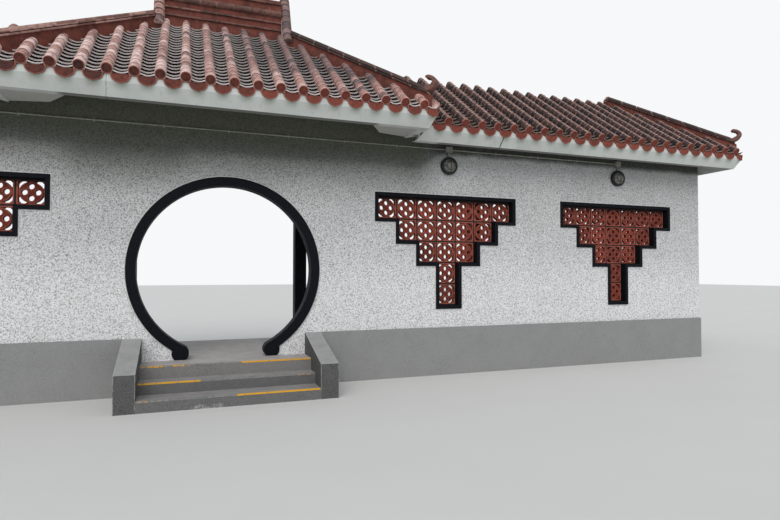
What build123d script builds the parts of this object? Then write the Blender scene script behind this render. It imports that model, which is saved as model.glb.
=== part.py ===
"""A moon gate in a roofed garden wall: five bays, a tall hipped roof over the round gate and a
lower hipped roof on each side, with a half open walk behind the wall.

Millimetres. X runs along the wall, the wall's face looks to -Y, Z is up. The origin is on the
ground under the middle of the roof, so every roof is the same left and right, front and back."""
from build123d import *
from math import atan, cos, degrees, radians, sin, sqrt
import os

os.makedirs("parts", exist_ok=True)

# Wall, in bays of equal width with the gate in the middle one.
bay = 3000
bays_each_side = 2
wall_end = 250
wall_thick = 150
wall_to_middle = 950
plinth_height = 660
plinth_thick = 30

# Walk and steps.
floor_top = 388
floor_behind = 970
step_count = 3
landing_depth = 376
tread_depths = (291, 237)
step_rises = (124, 123)
nosing_round = 12
stair_half_width = 955
cheek_thick = 206
cheek_low_top = 392

# Round gate.
gate_centre_z = 1456
ring_outer = 1140
ring_inner = 1030
ring_proud = 20
knob_radius = 97
knob_x = 535
knob_z = 465

# Windows: rows of square pierced blocks, widest at the top.
block = 300
rows = (7, 5, 3, 1, 1)
window_top = 2466
frame_width = 50
frame_proud = 15
block_setback = 80
hole_radius = 38
hole_reach = 66
slot_corner = 112
slot_side = 124
slot_end = 50

# Rear columns and beam.
column_side = 180
column_xs = (1240, 4395, 7550)
beam_bottom = 3250

# Roofs: depth and length are half spans to the ends of the round tiles, whose axes lie on
# the roof's reference planes. Drops are measured straight down from those planes.
tile_pitch = 250
tile_radius = 55
tile_side_angle = 70
tile_bed_drop = 30
drip_half_width = 98
drip_half_foot = 40
drip_top_drop = 45
drip_foot_drop = 125
drip_thick = 15
slab_drop = 90
slab_thick = 120
past_eave = 300

high_depth = 1809
high_length = 2440
high_eave_z = 3495
high_pitch = 37
low_depth = 1464
low_length = 8150
low_eave_z = 3420
low_pitch = 35

fascia_back = 89
fascia_lean = 28
fascia_thick = 100
high_fascia_bottom = 3225
low_fascia_bottom = 3150
soffit_thick = 40
soffit_run = (600, 410)

# Ridges. Their sloping tops are measured straight up from the roof's reference planes.
ridge_half_thick = 150
ridge_half_length = 765
ridge_top = 5270
ridge_cap_radius = 60
ledge_height = 30
ledge_reach = 25
ledge_zs = (4850, 4955, 5225)
roll_z = 5080
roll_radius = 45
fin_thick = 135
fin_web = 105
fin_foot_y = 390
fin_foot_z = 4660
fin_top_z = 5370
fin_top_radius = 60
fin_cap = 50
hip_web = 100
hip_web_rise = 85
hip_band = 150
hip_band_height = 48
hip_cap_radius = 46
hook_radius = 100
hook_bore = 56
hook_setback = 30
hook_sides = 12
cap_sides = 8

# Lamps and their supply.
lamp_z = 2930
lamp_radius = 125
lamp_sides = 12
lamp_rim = 30
lamp_depth = 60
lamp_dome = 25
supply_z = 3162
box_width = 100
box_height = 80
box_depth = 45
conduit_radius = 10
conduit_sides = 6

wall_face = -wall_to_middle
wall_back = wall_face + wall_thick
wall_half_length = bay / 2 + bays_each_side * bay + wall_end
window_xs = [bay * n for n in range(1, bays_each_side + 1)]


class Roof:
    """The reference planes of one hipped roof."""

    def __init__(self, depth, length, eave_z, pitch, fascia_bottom):
        self.depth = depth
        self.length = length
        self.eave_z = eave_z
        self.pitch = pitch
        self.rise = sin(radians(pitch)) / cos(radians(pitch))
        self.ridge_z = eave_z + depth * self.rise
        self.apex = length - depth
        self.fascia_bottom = fascia_bottom


high = Roof(high_depth, high_length, high_eave_z, high_pitch, high_fascia_bottom)
low = Roof(low_depth, low_length, low_eave_z, low_pitch, low_fascia_bottom)

# Where the low roof's surface meets the tall roof's end slopes, in plan.
valley_x = high.length - (low.ridge_z - high.eave_z) / high.rise
valley_y = low.depth - (high.eave_z - low.eave_z) / low.rise


def write(built, name):
    built.part.label = name
    export_step(built.part, f"parts/{name}.step")


def under(roof, drop):
    """All the space under a roof's planes when they are lowered by drop."""
    fall = past_eave * roof.rise
    eave = roof.eave_z - drop - fall
    top = roof.ridge_z - drop
    across = roof.depth + past_eave
    along = roof.length + past_eave
    with BuildPart() as space:
        with BuildSketch(Plane.YZ):
            with BuildLine():
                Polyline((-across, 0), (-across, eave), (0, top), (across, eave), (across, 0), close=True)
            make_face()
        extrude(amount=along, both=True)
        with BuildSketch(Plane.XZ):
            with BuildLine():
                Polyline((-along, 0), (-along, eave), (-roof.apex, top), (roof.apex, top), (along, eave),
                         (along, 0), close=True)
            make_face()
        extrude(amount=across, both=True, mode=Mode.INTERSECT)
    return space.part


def valley_wedges():
    """The plan areas, full height, where the low roof covers the tall one."""
    far = high.length + past_eave
    far_y = valley_y * (far - valley_x) / (high.length - valley_x)
    with BuildPart() as wedges:
        with BuildSketch():
            with BuildLine():
                Polyline((valley_x, 0), (far, -far_y), (far, far_y), close=True)
            make_face()
        extrude(amount=high.ridge_z + past_eave)
        mirror(about=Plane.YZ)
    return wedges.part


high_slab_under = under(high, slab_drop + slab_thick)
low_slab_under = under(low, slab_drop + slab_thick)
high_slab_top = under(high, slab_drop)
low_slab_top = under(low, slab_drop)
wedges = valley_wedges()


def high_ground():
    """The space that belongs to the tall roof: its plan rectangle from the foot of its drip
    tiles up, its leaning fascia below, less the wedges."""
    back = fascia_back
    lean_height = high.eave_z - drip_foot_drop - low.fascia_bottom
    reach = (high.fascia_bottom - low.fascia_bottom) * sin(radians(fascia_lean)) / cos(radians(fascia_lean))
    with BuildPart() as ground:
        with BuildSketch(Plane.XY.offset(low.fascia_bottom)):
            Rectangle(2 * (high.length - back - reach), 2 * (high.depth - back - reach))
        extrude(amount=lean_height, taper=-fascia_lean)
        with BuildSketch(Plane.XY.offset(low.fascia_bottom + lean_height)):
            Rectangle(2 * high.length, 2 * high.depth)
        extrude(amount=high.ridge_z)
        add(wedges, mode=Mode.SUBTRACT)
    return ground.part


tall_ground = high_ground()


def layer(roof, inset, top, underside):
    """What lies between two of a roof's lowered planes, inset from its eaves."""
    with BuildPart() as piece:
        with BuildSketch(Plane.XY.offset(roof.fascia_bottom)):
            Rectangle(2 * (roof.length - inset), 2 * (roof.depth - inset))
        extrude(amount=roof.ridge_z - roof.fascia_bottom)
        add(top, mode=Mode.INTERSECT)
        add(underside, mode=Mode.SUBTRACT)
    return piece.part


def fascia(roof, top):
    """The leaning face around a roof's eaves. Its upper edge stays behind the drip tiles."""
    inside = fascia_back + fascia_thick
    base = Plane.XY.offset(roof.fascia_bottom)
    with BuildPart() as piece:
        with BuildSketch(base):
            Rectangle(2 * (roof.length - fascia_back), 2 * (roof.depth - fascia_back))
        extrude(amount=past_eave, taper=-fascia_lean)
        with BuildSketch(base):
            Rectangle(2 * (roof.length - drip_thick), 2 * (roof.depth - drip_thick))
        extrude(amount=past_eave, mode=Mode.INTERSECT)
        with BuildSketch(base):
            Rectangle(2 * (roof.length - inside), 2 * (roof.depth - inside))
        extrude(amount=past_eave, mode=Mode.SUBTRACT)
        add(top, mode=Mode.INTERSECT)
    return piece.part


# Floor of the walk, which passes under the gate as its threshold.
with BuildPart() as floor_slab:
    with BuildSketch():
        with Locations((0, wall_back)):
            Rectangle(2 * wall_half_length, floor_behind - wall_back, align=(Align.CENTER, Align.MIN))
        with Locations((0, wall_face)):
            Rectangle(bay, wall_thick, align=(Align.CENTER, Align.MIN))
    extrude(amount=floor_top)
write(floor_slab, "floor_slab")

# Steps, each a block that stands on the ground in front of the next.
step_names = ("landing", "middle_step", "lower_step")
step_tops = (floor_top, sum(step_rises), step_rises[0])
step_depths = (landing_depth, tread_depths[1], tread_depths[0])
step_front = wall_face
for name, top, depth in zip(step_names, step_tops, step_depths):
    with BuildPart() as step:
        with BuildSketch():
            with Locations((0, step_front)):
                Rectangle(2 * stair_half_width, depth, align=(Align.CENTER, Align.MAX))
        extrude(amount=top)
        nosing = step.faces().sort_by(Axis.Z)[-1].edges().sort_by(Axis.Y)[0]
        fillet(nosing, nosing_round)
    write(step, name)
    step_front -= depth
stair_front = step_front

# Low walls beside the steps, their tops falling to the front.
for name, side in (("cheek_wall_left", -1), ("cheek_wall_right", 1)):
    cheek_x = side * (stair_half_width + cheek_thick / 2)
    with BuildPart() as cheek:
        with BuildSketch(Plane.YZ.offset(cheek_x)):
            with BuildLine():
                Polyline((wall_face, 0), (stair_front, 0), (stair_front, cheek_low_top), (wall_face, plinth_height),
                         close=True)
            make_face()
        extrude(amount=cheek_thick / 2, both=True)
    write(cheek, name)

# Dark plinth along the foot of the wall.
with BuildPart() as plinth:
    plinth_start = stair_half_width + cheek_thick
    plinth_middle = (plinth_start + wall_half_length) / 2
    with BuildSketch():
        with Locations((plinth_middle, wall_face), (-plinth_middle, wall_face)):
            Rectangle(wall_half_length - plinth_start, plinth_thick, align=(Align.CENTER, Align.MAX))
    extrude(amount=plinth_height)
write(plinth, "plinth")


def stepped_rows(grow):
    """The outline of the window's rows of blocks, grown on every side."""
    for row, count in enumerate(rows):
        with Locations((0, window_top - (row + 0.5) * block)):
            Rectangle(count * block + 2 * grow, block + 2 * grow)


# Wall of the gate's bay, in two halves around the ring.
for name, side in (("gate_wall_left", -1), ("gate_wall_right", 1)):
    with BuildPart() as wall:
        with BuildSketch(Plane.XZ.offset(-wall_back)):
            with Locations((side * bay / 4, floor_top)):
                Rectangle(bay / 2, high.ridge_z - floor_top, align=(Align.CENTER, Align.MIN))
            with Locations((0, gate_centre_z)):
                Circle(ring_outer, mode=Mode.SUBTRACT)
            with Locations((side * knob_x, knob_z)):
                Circle(knob_radius, mode=Mode.SUBTRACT)
            with Locations((0, floor_top)):
                Rectangle(2 * knob_x, knob_z - floor_top, align=(Align.CENTER, Align.MIN), mode=Mode.SUBTRACT)
        extrude(amount=wall_thick)
        add(high_slab_under, mode=Mode.INTERSECT)
    write(wall, name)

# Walls of the window bays. The end ones run past the last bay by the wall's end.
side_under = low_slab_under + high_slab_under
bay_names = {-2: "wall_far_left", -1: "wall_near_left", 1: "wall_near_right", 2: "wall_far_right"}
for number, name in bay_names.items():
    side = 1 if number > 0 else -1
    inner = bay * (abs(number) - 0.5)
    outer = inner + bay + (wall_end if abs(number) == bays_each_side else 0)
    with BuildPart() as wall:
        with BuildSketch(Plane.XZ.offset(-wall_back)):
            with Locations((side * (inner + outer) / 2, 0)):
                Rectangle(outer - inner, high.ridge_z, align=(Align.CENTER, Align.MIN))
        extrude(amount=wall_thick)
        with BuildSketch(Plane(origin=(bay * number, wall_back, 0), x_dir=(1, 0, 0), z_dir=(0, -1, 0))):
            stepped_rows(frame_width)
        extrude(amount=wall_thick, mode=Mode.SUBTRACT)
        add(side_under, mode=Mode.INTERSECT)
    write(wall, name)

# Window frames and their pierced blocks.
window_names = {-2: "far_left", -1: "near_left", 1: "near_right", 2: "far_right"}
for number, name in window_names.items():
    with BuildPart() as frame:
        with BuildSketch(Plane(origin=(bay * number, wall_back, 0), x_dir=(1, 0, 0), z_dir=(0, -1, 0))) as outline:
            stepped_rows(frame_width)
            with BuildSketch(mode=Mode.SUBTRACT):
                stepped_rows(0)
        extrude(amount=wall_thick + frame_proud)
    write(frame, f"window_frame_{name}")

    with BuildPart() as screen:
        with BuildSketch(Plane(origin=(bay * number, wall_back, 0), x_dir=(1, 0, 0), z_dir=(0, -1, 0))):
            stepped_rows(0)
            for row, count in enumerate(rows):
                with Locations((0, window_top - (row + 0.5) * block)):
                    with GridLocations(block, block, count, 1):
                        with PolarLocations(hole_reach, 4):
                            RegularPolygon(hole_radius, 4, mode=Mode.SUBTRACT)
                        with PolarLocations(0, 4):
                            Polygon((slot_side, slot_end), (slot_corner, slot_corner), (slot_end, slot_side),
                                    align=None, mode=Mode.SUBTRACT)
        extrude(amount=wall_thick - block_setback)
    write(screen, f"block_screen_{name}")

# The round gate's ring, with a knob at each foot.
with BuildPart() as moon_gate_ring:
    with BuildSketch(Plane.XZ.offset(-wall_back)):
        with Locations((0, gate_centre_z)):
            Circle(ring_outer)
            Circle(ring_inner, mode=Mode.SUBTRACT)
        with Locations((0, 0)):
            Rectangle(2 * knob_x, knob_z, align=(Align.CENTER, Align.MIN), mode=Mode.SUBTRACT)
        with BuildLine():
            Polyline((0, gate_centre_z), (-knob_x, knob_z), (0, 0), (knob_x, knob_z), close=True)
        make_face(mode=Mode.SUBTRACT)
        with Locations((knob_x, knob_z), (-knob_x, knob_z)):
            Circle(knob_radius)
        with Locations((0, floor_top)):
            Rectangle(bay, floor_top, align=(Align.CENTER, Align.MAX), mode=Mode.SUBTRACT)
    extrude(amount=wall_thick + ring_proud)
write(moon_gate_ring, "moon_gate_ring")

# Square columns along the back of the walk, and the beam that they carry.
column_y = -wall_face - column_side / 2
with BuildPart() as rear_columns:
    with BuildSketch(Plane.XY.offset(floor_top)):
        with Locations(*[(side * x, column_y) for x in column_xs for side in (-1, 1)]):
            Rectangle(column_side, column_side)
    extrude(amount=beam_bottom - floor_top)
write(rear_columns, "rear_columns")

with BuildPart() as rear_beam:
    with BuildSketch(Plane.XY.offset(beam_bottom)):
        with Locations((0, column_y)):
            Rectangle(2 * wall_half_length, column_side)
    extrude(amount=high.ridge_z - beam_bottom)
    add(side_under, mode=Mode.INTERSECT)
write(rear_beam, "rear_beam")

# Roof slabs and the leaning fascias around their eaves.
with BuildPart() as high_slab:
    add(layer(high, fascia_back + fascia_thick, high_slab_top, high_slab_under))
    add(wedges, mode=Mode.SUBTRACT)
write(high_slab, "high_roof_slab")

with BuildPart() as high_fascia:
    add(fascia(high, high_slab_top))
    add(wedges, mode=Mode.SUBTRACT)
write(high_fascia, "high_fascia")

low_slab_raw = layer(low, fascia_back + fascia_thick, low_slab_top, low_slab_under)
low_fascia_raw = fascia(low, low_slab_top)
for name, keep in (("left", Keep.BOTTOM), ("right", Keep.TOP)):
    with BuildPart() as low_slab:
        add(low_slab_raw)
        add(tall_ground, mode=Mode.SUBTRACT)
        split(bisect_by=Plane.YZ, keep=keep)
    write(low_slab, f"low_roof_slab_{name}")
    with BuildPart() as low_fascia:
        add(low_fascia_raw)
        add(tall_ground, mode=Mode.SUBTRACT)
        split(bisect_by=Plane.YZ, keep=keep)
    write(low_fascia, f"low_fascia_{name}")


slopes = (Vector(0, -1, 0), Vector(0, 1, 0), Vector(-1, 0, 0), Vector(1, 0, 0))


def tile_rows(roof, outward):
    """One slope's round tile rows, up to the hips on its two sides, and the drip tiles that hang
    between them at the eave."""
    pitch = radians(roof.pitch)
    across = roof.depth if outward.X else roof.length
    eave = outward * (roof.length if outward.X else roof.depth) + Vector(0, 0, roof.eave_z)
    up_slope = Vector(0, 0, sin(pitch)) - outward * cos(pitch)
    face = Vector(0, 0, cos(pitch)) + outward * sin(pitch)
    row_count = 2 * int(across / tile_pitch) + 1
    far_x = roof.length + past_eave
    far_y = roof.depth + past_eave
    with BuildPart() as covering:
        with BuildSketch(Plane(origin=eave, x_dir=face.cross(up_slope), z_dir=up_slope)):
            with Locations((0, -tile_bed_drop)):
                with GridLocations(tile_pitch, tile_pitch, row_count, 1):
                    Trapezoid(2 * tile_radius, tile_radius + tile_bed_drop, tile_side_angle,
                              align=(Align.CENTER, Align.MIN))
        extrude(amount=roof.depth / cos(pitch))
        with BuildSketch(Plane(origin=eave, x_dir=up_slope.cross(face), z_dir=outward)):
            with GridLocations(tile_pitch, tile_pitch, row_count + 1, 1):
                Polygon((-drip_half_width, -drip_top_drop), (-drip_half_foot, -drip_foot_drop),
                        (drip_half_foot, -drip_foot_drop), (drip_half_width, -drip_top_drop), align=None)
        extrude(amount=-drip_thick)
        with BuildSketch():
            with BuildLine():
                if outward.X:
                    side = outward.X
                    Polyline((side * roof.apex, 0), (side * far_x, far_y), (side * far_x, -far_y), close=True)
                else:
                    side = outward.Y
                    Polyline((roof.apex, 0), (far_x, side * far_y), (-far_x, side * far_y), (-roof.apex, 0),
                             close=True)
            make_face()
        extrude(amount=roof.ridge_z + past_eave, mode=Mode.INTERSECT)
    return covering.part


def covering(roof, top_of_slab):
    """A roof's tile bed with the rows and drip tiles of its four slopes."""
    with BuildPart() as tiles:
        add(layer(roof, drip_thick, under(roof, tile_bed_drop), top_of_slab))
        add([tile_rows(roof, outward) for outward in slopes])
    return tiles.part


def hip_ridges(roof, top_of_slab, start):
    """Four sloping ridges over a roof's hips, from start to the corners: a plastered web, a
    wider band that turns up into an open hook at the corner, and a round cap. All are cut to
    sit on the slab."""
    run = (roof.depth - tile_radius) * sqrt(2)
    fall = roof.rise / sqrt(2)
    side_plane = Plane(origin=(roof.apex, 0, roof.ridge_z), x_dir=(1, -1, 0), z_dir=(-1, -1, 0))
    lean = atan(fall)
    cap_z = hip_web_rise + hip_band_height
    foot = roof.ridge_z - roof.fascia_bottom
    along = Vector(1, -1, 0).normalized() * cos(lean) - Vector(0, 0, sin(lean))
    begin = side_plane.from_local_coords((start, cap_z - start * fall, 0))
    hook_x = run - hook_setback
    hook_z = hip_web_rise + hook_radius - hook_x * fall
    with BuildPart() as ridges:
        with BuildSketch(side_plane):
            with BuildLine():
                Polyline((start, hip_web_rise - start * fall), (run, hip_web_rise - run * fall), (run, -foot),
                         (start, -foot), close=True)
            make_face()
        extrude(amount=hip_web / 2, both=True)
        with BuildSketch(side_plane):
            with Locations((hook_x, hook_z)):
                RegularPolygon(hook_radius, hook_sides)
                RegularPolygon(hook_bore, hook_sides, mode=Mode.SUBTRACT)
                Rectangle(hook_radius, 2 * hook_radius, align=(Align.MAX, Align.CENTER), mode=Mode.SUBTRACT)
            with BuildLine():
                Polyline((start, cap_z - start * fall), (run, cap_z - run * fall),
                         (run, hip_web_rise - run * fall), (start, hip_web_rise - start * fall), close=True)
            make_face()
        extrude(amount=hip_band / 2, both=True)
        with BuildSketch(Plane(origin=begin, x_dir=(-1, -1, 0), z_dir=along)):
            RegularPolygon(hip_cap_radius, cap_sides)
        extrude(amount=(hook_x - start - hook_bore) / cos(lean))
        add(top_of_slab, mode=Mode.SUBTRACT)
        mirror(about=Plane.XZ)
        mirror(about=Plane.YZ)
    return ridges.part


# Main ridge: a plastered wall with ledges and a roll, and a round cap.
with BuildPart() as main_ridge:
    with BuildSketch(Plane.YZ):
        Rectangle(2 * ridge_half_thick, ridge_top, align=(Align.CENTER, Align.MIN))
        for ledge_z in ledge_zs:
            with Locations((0, ledge_z)):
                Rectangle(2 * (ridge_half_thick + ledge_reach), ledge_height)
        with Locations((ridge_half_thick, roll_z), (-ridge_half_thick, roll_z)):
            RegularPolygon(roll_radius, cap_sides)
        with Locations((0, ridge_top)):
            RegularPolygon(ridge_cap_radius, cap_sides)
    extrude(amount=ridge_half_length, both=True)
    add(high_slab_top, mode=Mode.SUBTRACT)
write(main_ridge, "main_ridge")


def fin_outline(inset):
    """A fin's pointed outline with a round top, drawn in by inset."""
    with Locations((0, fin_top_z)):
        Circle(fin_top_radius - inset)
    with Locations((0, fin_foot_z)):
        Rectangle(2 * (fin_foot_y - inset), high.rise * fin_foot_y, align=(Align.CENTER, Align.MAX))
    make_hull()


# A steep pointed fin closes each end of the main ridge and stands on both slopes. Its two
# faces are recessed inside the capped edge.
fins = {}
for name, side in (("ridge_fin_left", -1), ("ridge_fin_right", 1)):
    near = side * ridge_half_length
    far = side * (ridge_half_length + fin_thick)
    recess = side * (fin_thick - fin_web) / 2
    with BuildPart() as fin:
        with BuildSketch(Plane.YZ.offset(near)):
            fin_outline(0)
        extrude(amount=far - near)
        with BuildSketch(Plane.YZ.offset(near)):
            fin_outline(fin_cap)
        extrude(amount=recess, mode=Mode.SUBTRACT)
        with BuildSketch(Plane.YZ.offset(far)):
            fin_outline(fin_cap)
        extrude(amount=-recess, mode=Mode.SUBTRACT)
        add(high_slab_top, mode=Mode.SUBTRACT)
    fins[name] = fin.part
    write(fin, name)

# Sloping ridges over the hips of both roofs.
with BuildPart() as high_hips:
    add(hip_ridges(high, high_slab_top, (ridge_half_length + fin_thick - high.apex) * sqrt(2) - hip_band / 2))
    for fin in fins.values():
        add(fin, mode=Mode.SUBTRACT)
write(high_hips, "high_hip_ridges")

with BuildPart() as low_hips:
    add(hip_ridges(low, low_slab_top, 0))
write(low_hips, "low_hip_ridges")

# Tile coverings: four slopes of the tall roof, and the low roof's slopes on each side of it.
with BuildPart() as high_tiles:
    add(covering(high, high_slab_top))
    add([main_ridge.part, *fins.values(), high_hips.part, wedges], mode=Mode.SUBTRACT)
write(high_tiles, "high_roof_tiles")

with BuildPart() as low_tiles:
    add(covering(low, low_slab_top))
    split(bisect_by=Plane.YZ)
    add([low_hips.part, tall_ground], mode=Mode.SUBTRACT)
write(low_tiles, "low_roof_tiles_right")

with BuildPart() as low_tiles_mirrored:
    mirror(low_tiles.part, about=Plane.YZ)
write(low_tiles_mirrored, "low_roof_tiles_left")

# Flat plates that close the tall roof's eave corners from below.
with BuildPart() as corner_soffits:
    corner_x = high.length - fascia_back - fascia_thick
    corner_y = -(high.depth - fascia_back - fascia_thick)
    long_run, short_run = soffit_run
    with BuildSketch(Plane.XY.offset(high.fascia_bottom)):
        with BuildLine():
            Polyline((corner_x, corner_y), (corner_x - long_run, corner_y),
                     (corner_x - short_run, corner_y + short_run - fascia_thick),
                     (corner_x, corner_y + short_run), close=True)
        make_face()
    extrude(amount=soffit_thick)
    mirror(about=Plane.XZ)
    mirror(about=Plane.YZ)
write(corner_soffits, "corner_soffits")

# Round lamps over the windows: a rim and a shallow domed glass on the wall.
lamp_xs = [side * x for x in window_xs for side in (-1, 1)]
lamp_plane = Plane.XZ.offset(-wall_face)
with BuildPart() as lamp_rims:
    with BuildSketch(lamp_plane):
        with Locations(*[(x, lamp_z) for x in lamp_xs]):
            RegularPolygon(lamp_radius, lamp_sides)
            RegularPolygon(lamp_radius - lamp_rim, lamp_sides, mode=Mode.SUBTRACT)
    extrude(amount=lamp_depth)
    chamfer(lamp_rims.faces().group_by(Axis.Y)[0].edges().group_by(SortBy.LENGTH)[-1], lamp_rim / 2)
write(lamp_rims, "lamp_rims")

with BuildPart() as lamp_glasses:
    with BuildSketch(lamp_plane):
        with Locations(*[(x, lamp_z) for x in lamp_xs]):
            RegularPolygon(lamp_radius - lamp_rim, lamp_sides)
    extrude(amount=lamp_depth + lamp_dome)
    chamfer(lamp_glasses.faces().group_by(Axis.Y)[0].edges(), lamp_dome)
write(lamp_glasses, "lamp_glasses")

# Small supply boxes above the lamps, and the conduit between them along the wall.
with BuildPart() as supply_boxes:
    with BuildSketch(lamp_plane):
        with Locations(*[(x, supply_z) for x in lamp_xs]):
            Rectangle(box_width, box_height)
    extrude(amount=box_depth)
write(supply_boxes, "supply_boxes")

with BuildPart() as conduit:
    stops = sorted(lamp_xs)
    for start, end in zip(stops, stops[1:]):
        with BuildSketch(Plane.YZ.offset(start + box_width / 2)):
            with Locations((wall_face - conduit_radius, supply_z)):
                RegularPolygon(conduit_radius, conduit_sides, major_radius=False,
                               rotation=180 / conduit_sides)
        extrude(amount=end - start - box_width)
write(conduit, "conduit")
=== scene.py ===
import math
import random

import bmesh
import bpy
import numpy as np
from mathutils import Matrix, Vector


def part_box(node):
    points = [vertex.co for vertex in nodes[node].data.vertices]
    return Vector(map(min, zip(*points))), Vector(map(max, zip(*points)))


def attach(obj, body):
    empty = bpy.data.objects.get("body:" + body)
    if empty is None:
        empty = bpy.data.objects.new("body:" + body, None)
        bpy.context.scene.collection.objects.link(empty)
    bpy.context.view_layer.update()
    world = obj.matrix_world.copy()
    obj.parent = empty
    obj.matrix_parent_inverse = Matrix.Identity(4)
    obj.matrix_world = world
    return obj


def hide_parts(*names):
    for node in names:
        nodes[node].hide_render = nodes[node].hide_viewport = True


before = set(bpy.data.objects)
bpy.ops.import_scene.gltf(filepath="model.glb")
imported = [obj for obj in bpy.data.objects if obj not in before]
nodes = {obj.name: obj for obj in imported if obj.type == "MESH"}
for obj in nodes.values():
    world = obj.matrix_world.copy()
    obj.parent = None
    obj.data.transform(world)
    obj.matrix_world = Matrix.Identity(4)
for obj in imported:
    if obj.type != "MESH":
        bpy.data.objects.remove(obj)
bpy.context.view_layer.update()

# %% [markdown]
# # A moon gate in a roofed garden wall
# The imported model is already the right size and in the right place: walls, steps, ring, slabs,
# fascias. What it lacks is skin. This lesson puts on the roof tiles one by one, makes the pierced
# blocks, and mixes a finish for every surface.

# %% [markdown]
# ## Places read from the model
# A finish or a tile is easiest to place from what is already there, so the wall's face and the
# gate's ring are read from their boxes, not typed again. X runs along the wall to the right, Y
# from the garden through the gate, Z up, and the ground is at height 0.

# %% Places
wall_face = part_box("wall_near_left")[0][1]
ring_low, ring_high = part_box("moon_gate_ring")
gate_radius = (ring_high[0] - ring_low[0]) / 2
gate_centre_z = ring_high[2] - gate_radius
print("wall face", round(wall_face, 3), "gate radius", round(gate_radius, 3),
      "gate centre", round(gate_centre_z, 3))

# %% [markdown]
# ## Making a finish
# Every finish is a small graph of nodes on one Principled shader. The same few steps come back in
# all of them: noise at some size, a ramp that turns it into a mask, a mix of two colours through
# that mask, and a bump. So each step gets a short helper, and a finish reads like a recipe.
# All coordinates are Object ones, in metres, so a grain of 5 mm is 5 mm wherever it is. The first
# helpers make numbers: a place, a noise, a mask, a sum.

# %% Numbers for a finish


class Recipe:
    """A material under construction: its nodes, its shader and its object coordinates."""

    def __init__(self, name, rough=0.8, specular=0.3):
        self.material = bpy.data.materials.new(name)
        self.material.use_nodes = True
        self.tree = self.material.node_tree
        self.shader = self.tree.nodes["Principled BSDF"]
        self.shader.inputs["Roughness"].default_value = rough
        self.shader.inputs["Specular IOR Level"].default_value = specular
        self.place = self.tree.nodes.new("ShaderNodeTexCoord").outputs["Object"]
        self.bumped = None

    def link(self, source, target):
        self.tree.links.new(source, target)

    def stretch(self, scale):
        """The coordinates scaled apart in X, Y and Z, for streaks."""
        mapping = self.tree.nodes.new("ShaderNodeMapping")
        mapping.inputs["Scale"].default_value = scale
        self.link(self.place, mapping.inputs["Vector"])
        return mapping.outputs["Vector"]

    def noise(self, scale, detail=3.0, rough=0.55, place=None):
        node = self.tree.nodes.new("ShaderNodeTexNoise")
        node.inputs["Scale"].default_value = scale
        node.inputs["Detail"].default_value = detail
        node.inputs["Roughness"].default_value = rough
        self.link(place or self.place, node.inputs["Vector"])
        return node.outputs["Fac"]

    def mask(self, value, low, high):
        """0 below low, 1 above high, smooth between. With low above high it runs the other way."""
        node = self.tree.nodes.new("ShaderNodeMapRange")
        node.interpolation_type = "SMOOTHSTEP"
        node.inputs["From Min"].default_value = min(low, high)
        node.inputs["From Max"].default_value = max(low, high)
        node.inputs["To Min"].default_value = 0.0 if low < high else 1.0
        node.inputs["To Max"].default_value = 1.0 if low < high else 0.0
        self.link(value, node.inputs["Value"])
        return node.outputs["Result"]

    def maths(self, operation, first, second):
        node = self.tree.nodes.new("ShaderNodeMath")
        node.operation = operation
        for socket, value in zip(node.inputs, (first, second)):
            if isinstance(value, (int, float)):
                socket.default_value = value
            else:
                self.link(value, socket)
        return node.outputs["Value"]

    def times(self, first, second):
        return self.maths("MULTIPLY", first, second)

    def plus(self, first, second):
        return self.maths("ADD", first, second)

    def minus(self, first, second):
        return self.maths("SUBTRACT", first, second)

    def most(self, first, second):
        """The larger of two numbers."""
        return self.maths("MAXIMUM", first, second)

    def size(self, value):
        """A number without its sign."""
        return self.maths("ABSOLUTE", value, 0.0)

    def axis(self, name):
        """One coordinate of the place: X, Y or Z, in metres."""
        node = self.tree.nodes.new("ShaderNodeSeparateXYZ")
        self.link(self.place, node.inputs["Vector"])
        return node.outputs[name]

    def facing(self, name, low, high):
        """1 where the surface itself, without its bump, faces along an axis, 0 where it doesn't."""
        normal = self.tree.nodes.new("ShaderNodeNewGeometry").outputs["True Normal"]
        node = self.tree.nodes.new("ShaderNodeSeparateXYZ")
        self.link(normal, node.inputs["Vector"])
        return self.mask(node.outputs[name], low, high)

    def own(self, name):
        """A number that the mesh carries at each corner, such as a tile's own tone."""
        node = self.tree.nodes.new("ShaderNodeAttribute")
        node.attribute_name = name
        return node.outputs["Fac"]


print("helpers for numbers:", [name for name in dir(Recipe) if not name.startswith("_")])

# %% [markdown]
# The others turn numbers into what is seen: a mix of colours, a roughness that varies, and relief.
# A mix node has its sockets once for each kind of value, and only the enabled ones count.

# %% Colours and relief


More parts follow.
